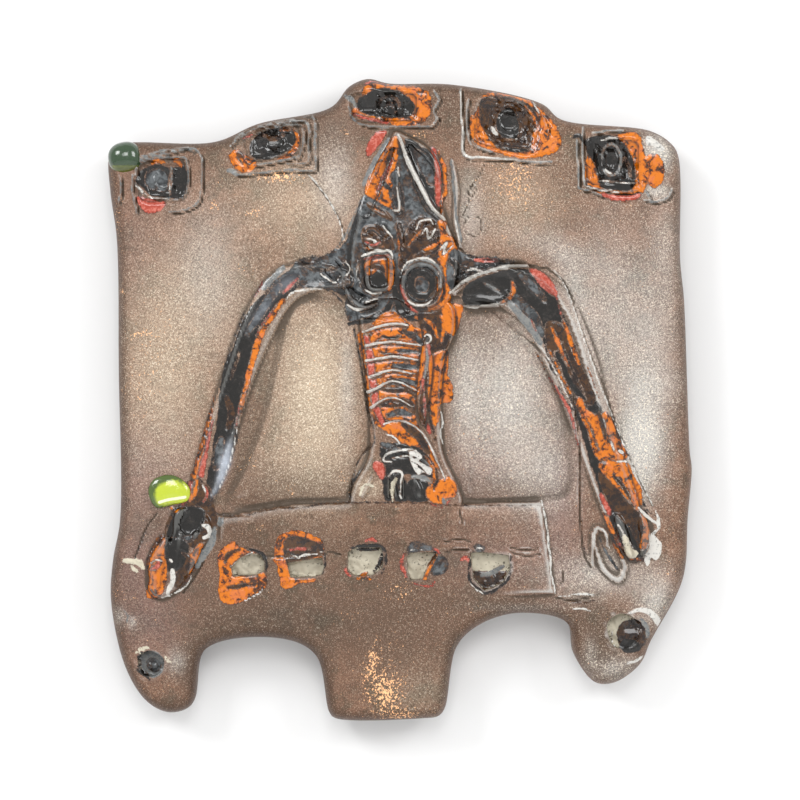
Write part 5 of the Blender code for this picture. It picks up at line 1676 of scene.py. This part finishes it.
@dataclass(frozen=True)
class LustreGlaze:
    """Semi-matte brown lustre glaze, with pools of coloured glaze laid over it, and painted sheen,
    highlights and glints in its colour.
    """

    brown: tuple = (0.225, 0.116, 0.070, 1)
    brown_dark: tuple = (0.080, 0.042, 0.025, 1)
    tan: tuple = (0.50, 0.40, 0.29, 1)
    # Silvery tone, partly a painted sheen.
    silver_and_sheen: tuple = (0.50, 0.485, 0.455, 1)
    mauve: tuple = (0.225, 0.140, 0.132, 1)
    soot: tuple = (0.065, 0.054, 0.032, 1)
    smoke: tuple = (0.048, 0.034, 0.022, 1)
    edge: tuple = (0.070, 0.034, 0.019, 1)
    copper: tuple = (0.95, 0.52, 0.26, 1)
    # Pale speck colour, partly painted glints.
    speck_and_glint: tuple = (0.86, 0.77, 0.62, 1)
    slate: tuple = (0.014, 0.016, 0.018, 1)
    slate_light: tuple = (0.110, 0.120, 0.126, 1)
    dark: tuple = (0.005, 0.004, 0.003, 1)
    dark_light: tuple = (0.026, 0.021, 0.018, 1)
    umber: tuple = (0.066, 0.026, 0.006, 1)
    umber_dark: tuple = (0.014, 0.006, 0.004, 1)
    orange: tuple = (0.58, 0.150, 0.002, 1)
    orange_deep: tuple = (0.20, 0.034, 0.002, 1)
    red: tuple = (0.34, 0.044, 0.022, 1)
    red_light: tuple = (0.52, 0.15, 0.11, 1)
    # Bluish white of the painted highlight on the glossy glaze.
    painted_highlight: tuple = (0.58, 0.63, 0.72, 1)
    # Grey glaze, also used for painted grey glints.
    ash_and_glint: tuple = (0.19, 0.19, 0.18, 1)
    # Pale glaze, also used for painted highlights.
    pale_and_highlight: tuple = (0.56, 0.54, 0.50, 1)
    clay: tuple = (0.52, 0.475, 0.370, 1)
    clay_dark: tuple = (0.060, 0.052, 0.036, 1)

    def edge_noise(self, graph: Graph) -> Socket:
        """Ragged shift in millimetres for the edges of the glazes."""
        return (graph.noise(2.4, 3.0) - 0.5) * 1.7 + (graph.noise(0.6, 2.0) - 0.5) * 0.7

    def body(self, graph: Graph) -> Socket:
        """Colour of the body glaze: mottled browns under the washes, then pale specks that are partly
        painted glints, pits and copper flecks.
        """
        mottle = graph.noise(9.0, 4.0, 0.62).ramp(0.34, 0.68)
        cloud = graph.noise(16.0, 5.0, 0.7).ramp(0.50, 0.66)
        right = graph.across().ramp(-0.030, 0.070)
        fine = graph.noise(0.95, 3.0, 0.7)
        grain = graph.noise(0.48, 1.0, 0.6)
        colour = graph.mix(self.brown_dark, self.brown, mottle * 0.55 + 0.45)
        colour = graph.mix(colour, self.soot, cloud * 0.55)
        colour = graph.mix(colour, self.mauve, graph.field("mauve") * 0.8)
        colour = graph.mix(colour, self.tan, graph.field("tan") * (0.72 + fine * 0.4))
        # Silver wash: a silvery tone that is partly a painted sheen.
        colour = graph.mix(colour, self.silver_and_sheen, graph.field("silver_and_sheen") * (0.66 + fine * 0.5))
        colour = graph.mix(colour, self.smoke, graph.field("smoke") * (0.55 + mottle * 0.45))
        rim = graph.field("edge") + (graph.noise(4.0, 3.0) - 0.5) * 0.25
        colour = graph.mix(colour, self.edge, rim.ramp(0.28, 0.95) * (0.85 - right * 0.40))
        light = graph.field("tan").most(graph.field("silver_and_sheen"))
        # Pale specks, partly the glaze's own and partly painted glints of the lustre, more over the pale
        # washes and towards the right.
        speck_and_glint = (grain * 0.6 + fine * 0.4).ramp(0.52, 0.66) * (0.20 + right * 0.10 + light * 0.75)
        colour = graph.mix(colour, self.speck_and_glint, speck_and_glint)
        pit = (grain * 0.5 + fine * 0.5).ramp(0.52, 0.36)
        colour = graph.mix(colour, self.smoke, pit * (0.72 - light * 0.30))
        groove = (0.0 - graph.field("proud")).ramp(0.04, 0.38)
        colour = graph.mix(colour, self.smoke, groove * 0.85)
        # Ridges go towards the silver tone, more so towards the right: partly the glaze thinning over them,
        # partly a painted highlight on that side.
        ridge = graph.field("proud").ramp(0.10, 0.55)
        colour = graph.mix(colour, self.silver_and_sheen, ridge * (right * 0.5 + grain * 0.45))
        fleck = graph.noise(0.85, 2.0, 0.6) + graph.field("copper") * 0.24
        return graph.mix(colour, self.copper, fleck.ramp(0.715, 0.775))

    def make(self) -> bpy.types.Material:
        """Builds the finish over the fields stored on the slab."""
        graph = Graph("lustre_glaze")
        shift = self.edge_noise(graph)
        fine = graph.noise(1.3, 3.0, 0.65)
        broad = graph.noise(6.0, 3.0, 0.6)
        colour = self.body(graph)
        middle = graph.noise(3.8, 4.0, 0.62, 0.5)
        stain = graph.mix(self.umber_dark, self.umber, fine.ramp(0.42, 0.60))
        slate = graph.mix(self.slate, self.slate_light, (fine * 0.25 + middle * 0.75).ramp(0.40, 0.62))
        orange = graph.mix(self.orange_deep, self.orange, (fine * 0.35 + middle * 0.65).ramp(0.38, 0.55))
        shades = {
            SLATE: graph.mix(slate, stain, broad.ramp(0.50, 0.60) * 0.8),
            DARK: graph.mix(self.dark, self.dark_light, (fine * 0.5 + middle * 0.5).ramp(0.48, 0.66)),
            UMBER: graph.mix(self.umber_dark, self.umber, (fine * 0.3 + middle * 0.7).ramp(0.42, 0.60)),
            ORANGE: graph.mix(graph.mix(orange, self.red_light, broad.ramp(0.54, 0.64) * 0.25),
                stain, middle.ramp(0.47, 0.39) * 0.9),
            RED: graph.mix(self.red, self.red_light, (fine * 0.7 + middle * 0.3).ramp(0.44, 0.62)),
            ASH_AND_GLINT: graph.mix(self.slate_light, self.ash_and_glint, fine.ramp(0.36, 0.58)),
            # Pale glaze, partly painted highlights.
            PALE_AND_HIGHLIGHT: graph.mix(self.ash_and_glint, self.pale_and_highlight, fine.ramp(0.30, 0.48)),
            CLAY: graph.mix(self.clay_dark, self.clay, (fine * 0.6 + broad * 0.4).ramp(0.34, 0.46)),
        }
        proud = graph.field("proud")
        gloss = None
        for glaze, shade in shades.items():
            inside = graph.field(glaze.value) + shift * (0.5 if glaze is PALE_AND_HIGHLIGHT else 1.0)
            mask = inside.ramp(-0.12, 0.16) if glaze in (PALE_AND_HIGHLIGHT, CLAY) else inside.ramp(-0.30, 0.36)
            if glaze in (ORANGE, RED, SLATE, DARK):
                # Darker in the hollows and lighter grey on the ridges of these glazes; the grey on the
                # ridges is partly a painted highlight.
                shade = graph.mix(shade, self.dark, (0.0 - proud).ramp(0.05, 0.45) * 0.85)
                shade = graph.mix(shade, self.ash_and_glint, proud.ramp(0.22, 0.60) * 0.35)
                shade = graph.mix(self.umber_dark, shade, (inside + (fine - 0.5) * 1.2).ramp(-0.20, 0.70))
            colour = graph.mix(colour, shade, mask)
            shine = 0.0 if glaze is CLAY else 1.0
            if gloss is None:
                gloss = mask
            elif shine:
                gloss = gloss.most(mask)
            else:
                gloss = gloss * (1.0 - mask)
        # Painted highlight: the bluish white of the sheen field laid over the glazes.
        colour = graph.mix(colour, self.painted_highlight, graph.field("painted_highlight") * (0.55 + fine * 0.7))
        dull = graph.noise(2.2, 3.0, 0.6) * 0.22 + 0.36
        bump_height = graph.noise(0.8, 3.0, 0.7) * (0.14 - gloss * 0.11) + broad * 0.25 + gloss * 0.12
        bump = graph.bump(0.55, 0.0006, bump_height)
        return graph.finish(
            Base_Color=colour, Roughness=dull * (1.0 - gloss) + gloss * 0.16,
            Metallic=(1.0 - gloss) * 0.25, Coat_Weight=gloss * 0.35, Coat_Roughness=0.04,
            Specular_IOR_Level=0.38, Normal=bump,
        )


@dataclass(frozen=True)
class Glass:
    """Opaque pooled glass in a deep and a clear tone laid by a stored share, with a painted pale highlight
    along one side.
    """

    name: str
    deep: tuple
    clear: tuple
    # Colour of the painted highlight.
    light: tuple

    def make(self) -> bpy.types.Material:
        """Builds the finish over the two fields stored on a drop."""
        graph = Graph(self.name)
        swirl = graph.noise(2.4, 3.0, 0.6, 0.8)
        depth = graph.field("deep") + (swirl - 0.5) * 0.8
        colour = graph.mix(self.deep, self.clear, depth.ramp(0.15, 0.75))
        # Painted highlight from the stored light field.
        painted_glass_highlight = graph.field("light") + (swirl - 0.5) * 0.35
        colour = graph.mix(colour, self.light, painted_glass_highlight.ramp(0.45, 0.75))
        return graph.finish(
            Base_Color=colour, Roughness=0.12, Coat_Weight=0.8, Coat_Roughness=0.04,
            Normal=graph.bump(0.25, 0.0005, swirl),
        )


@dataclass(frozen=True)
class Paper:
    """Plain white paper of the wall and the floor: from behind, the wall lets the view through."""

    name: str
    colour: tuple = (0.77, 0.77, 0.77, 1)
    one_sided: bool = False

    def make(self) -> bpy.types.Material:
        """Builds the finish with a faint grain."""
        graph = Graph(self.name)
        grain = graph.noise(3.0, 2.0)
        colour = graph.mix(self.colour, (0.75, 0.75, 0.75, 1), grain * 0.3)
        alpha = 1.0
        if self.one_sided:
            alpha = 1.0 - graph.node('ShaderNodeNewGeometry', {}, output="Backfacing")
        return graph.finish(Base_Color=colour, Roughness=0.9, Alpha=alpha)


@dataclass
class Studio:
    """White wall just behind the slab, a pale floor below it, soft lights and a straight camera."""

    wall_gap: float = 0.008
    floor_drop: float = 0.42
    half_width: float = 1.6
    wall_top: float = 1.4
    camera_distance: float = 2.2
    field_width: float = 0.3741
    sensor: float = 36.0
    camera_shift: tuple = (-0.0002, -0.011, -0.0001)
    room_light: float = 0.85
    lamps: tuple = (
        ("left_light", (-1.25, -1.35, 1.0), 0.7, 17.0),
        ("right_light", (1.4, -1.3, 0.8), 0.7, 12.0),
        ("front_light", (0.0, -2.4, 0.9), 0.8, 14.0),
    )

    def build_stage(self) -> None:
        """Builds the wall and the floor as stage pieces."""
        side, low, top, front, back = self.half_width, -self.floor_drop, self.wall_top, -3.0, 0.6
        wall_corners = [(-side, 0, low), (side, 0, low), (side, 0, top), (-side, 0, top)]
        floor_corners = [(-side, front, 0), (side, front, 0), (side, back, 0), (-side, back, 0)]
        wall = self.sheet("wall", wall_corners, Paper("wall_paper", one_sided=True).make())
        wall.location.y = self.wall_gap
        floor = self.sheet("floor", floor_corners, Paper("floor_paper").make())
        floor.location.z = -self.floor_drop

    def sheet(self, name: str, corners: list, look: bpy.types.Material) -> bpy.types.Object:
        """One flat rectangle."""
        mesh = bpy.data.meshes.new(name)
        mesh.from_pydata(corners, [], [[0, 1, 2, 3]])
        mesh.materials.append(look)
        made = bpy.data.objects.new(name, mesh)
        bpy.context.scene.collection.objects.link(made)
        return made

    def lamp(self, name: str, place_at: tuple, size: float, power: float) -> None:
        """Square soft light turned to the slab.

        Args:
            name: name of the light.
            place_at: its place in metres.
            size: length of its side in metres.
            power: its power in watts.
        """
        data = bpy.data.lights.new(name, 'AREA')
        data.size = size
        data.energy = power
        made = bpy.data.objects.new(name, data)
        made.location = place_at
        made.rotation_euler = (Vector((0, 0, 0)) - Vector(place_at)).to_track_quat('-Z', 'Y').to_euler()
        bpy.context.scene.collection.objects.link(made)

    def build_lights(self) -> None:
        """Large soft lights at the left, the right and the front, and an even pale room."""
        for lamp in self.lamps:
            self.lamp(*lamp)
        world = bpy.data.worlds.new("room")
        world.use_nodes = True
        backdrop = world.node_tree.nodes["Background"]
        backdrop.inputs["Color"].default_value = (1, 1, 1, 1)
        backdrop.inputs["Strength"].default_value = self.room_light
        bpy.context.scene.world = world

    def build_camera(self) -> None:
        """Long lens looking straight at the slab."""
        data = bpy.data.cameras.new("camera")
        data.sensor_width = self.sensor
        data.lens = self.sensor * self.camera_distance / self.field_width
        data.clip_end = 20.0
        made = bpy.data.objects.new("camera", data)
        across, back, up = self.camera_shift
        made.location = (across, back - self.camera_distance, up)
        made.rotation_euler = (np.pi / 2, 0, 0)
        bpy.context.scene.collection.objects.link(made)
        bpy.context.scene.camera = made
        bpy.context.scene.view_settings.view_transform = 'Standard'


def main() -> None:
    """Builds the slab, the drops and the studio."""
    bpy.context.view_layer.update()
    sections = [LowerBand(), Figure(), Stamps(), LegHoles()]
    slab = Slab().build(sections, LustreGlaze().make())
    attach(slab, "root")
    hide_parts("ceramic_slab")
    log.info("slab: %d faces", len(slab.data.polygons))
    yellow = Glass(
        "yellow_green_glass", (0.050, 0.090, 0.006, 1), (0.42, 0.50, 0.016, 1), (0.72, 0.74, 0.50, 1),
    )
    green = Glass(
        "dark_green_glass", (0.075, 0.085, 0.008, 1), (0.014, 0.040, 0.011, 1), (0.13, 0.14, 0.012, 1),
    )
    for part, look, node, slot in (
        (SideDrop(), yellow, "yellow_green_glass_drop", "yellow_green_glass"),
        (CornerDrop(), green, "dark_green_glass_drop", "dark_green_glass"),
    ):
        piece = part.build(look.make())
        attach(piece, "root")
        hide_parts(node)
        log.info("%s: %d faces", piece.name, len(piece.data.polygons))
    studio = Studio()
    studio.build_stage()
    studio.build_lights()
    studio.build_camera()


if __name__ == "__main__":
    logging.basicConfig(level=logging.INFO)
    main()
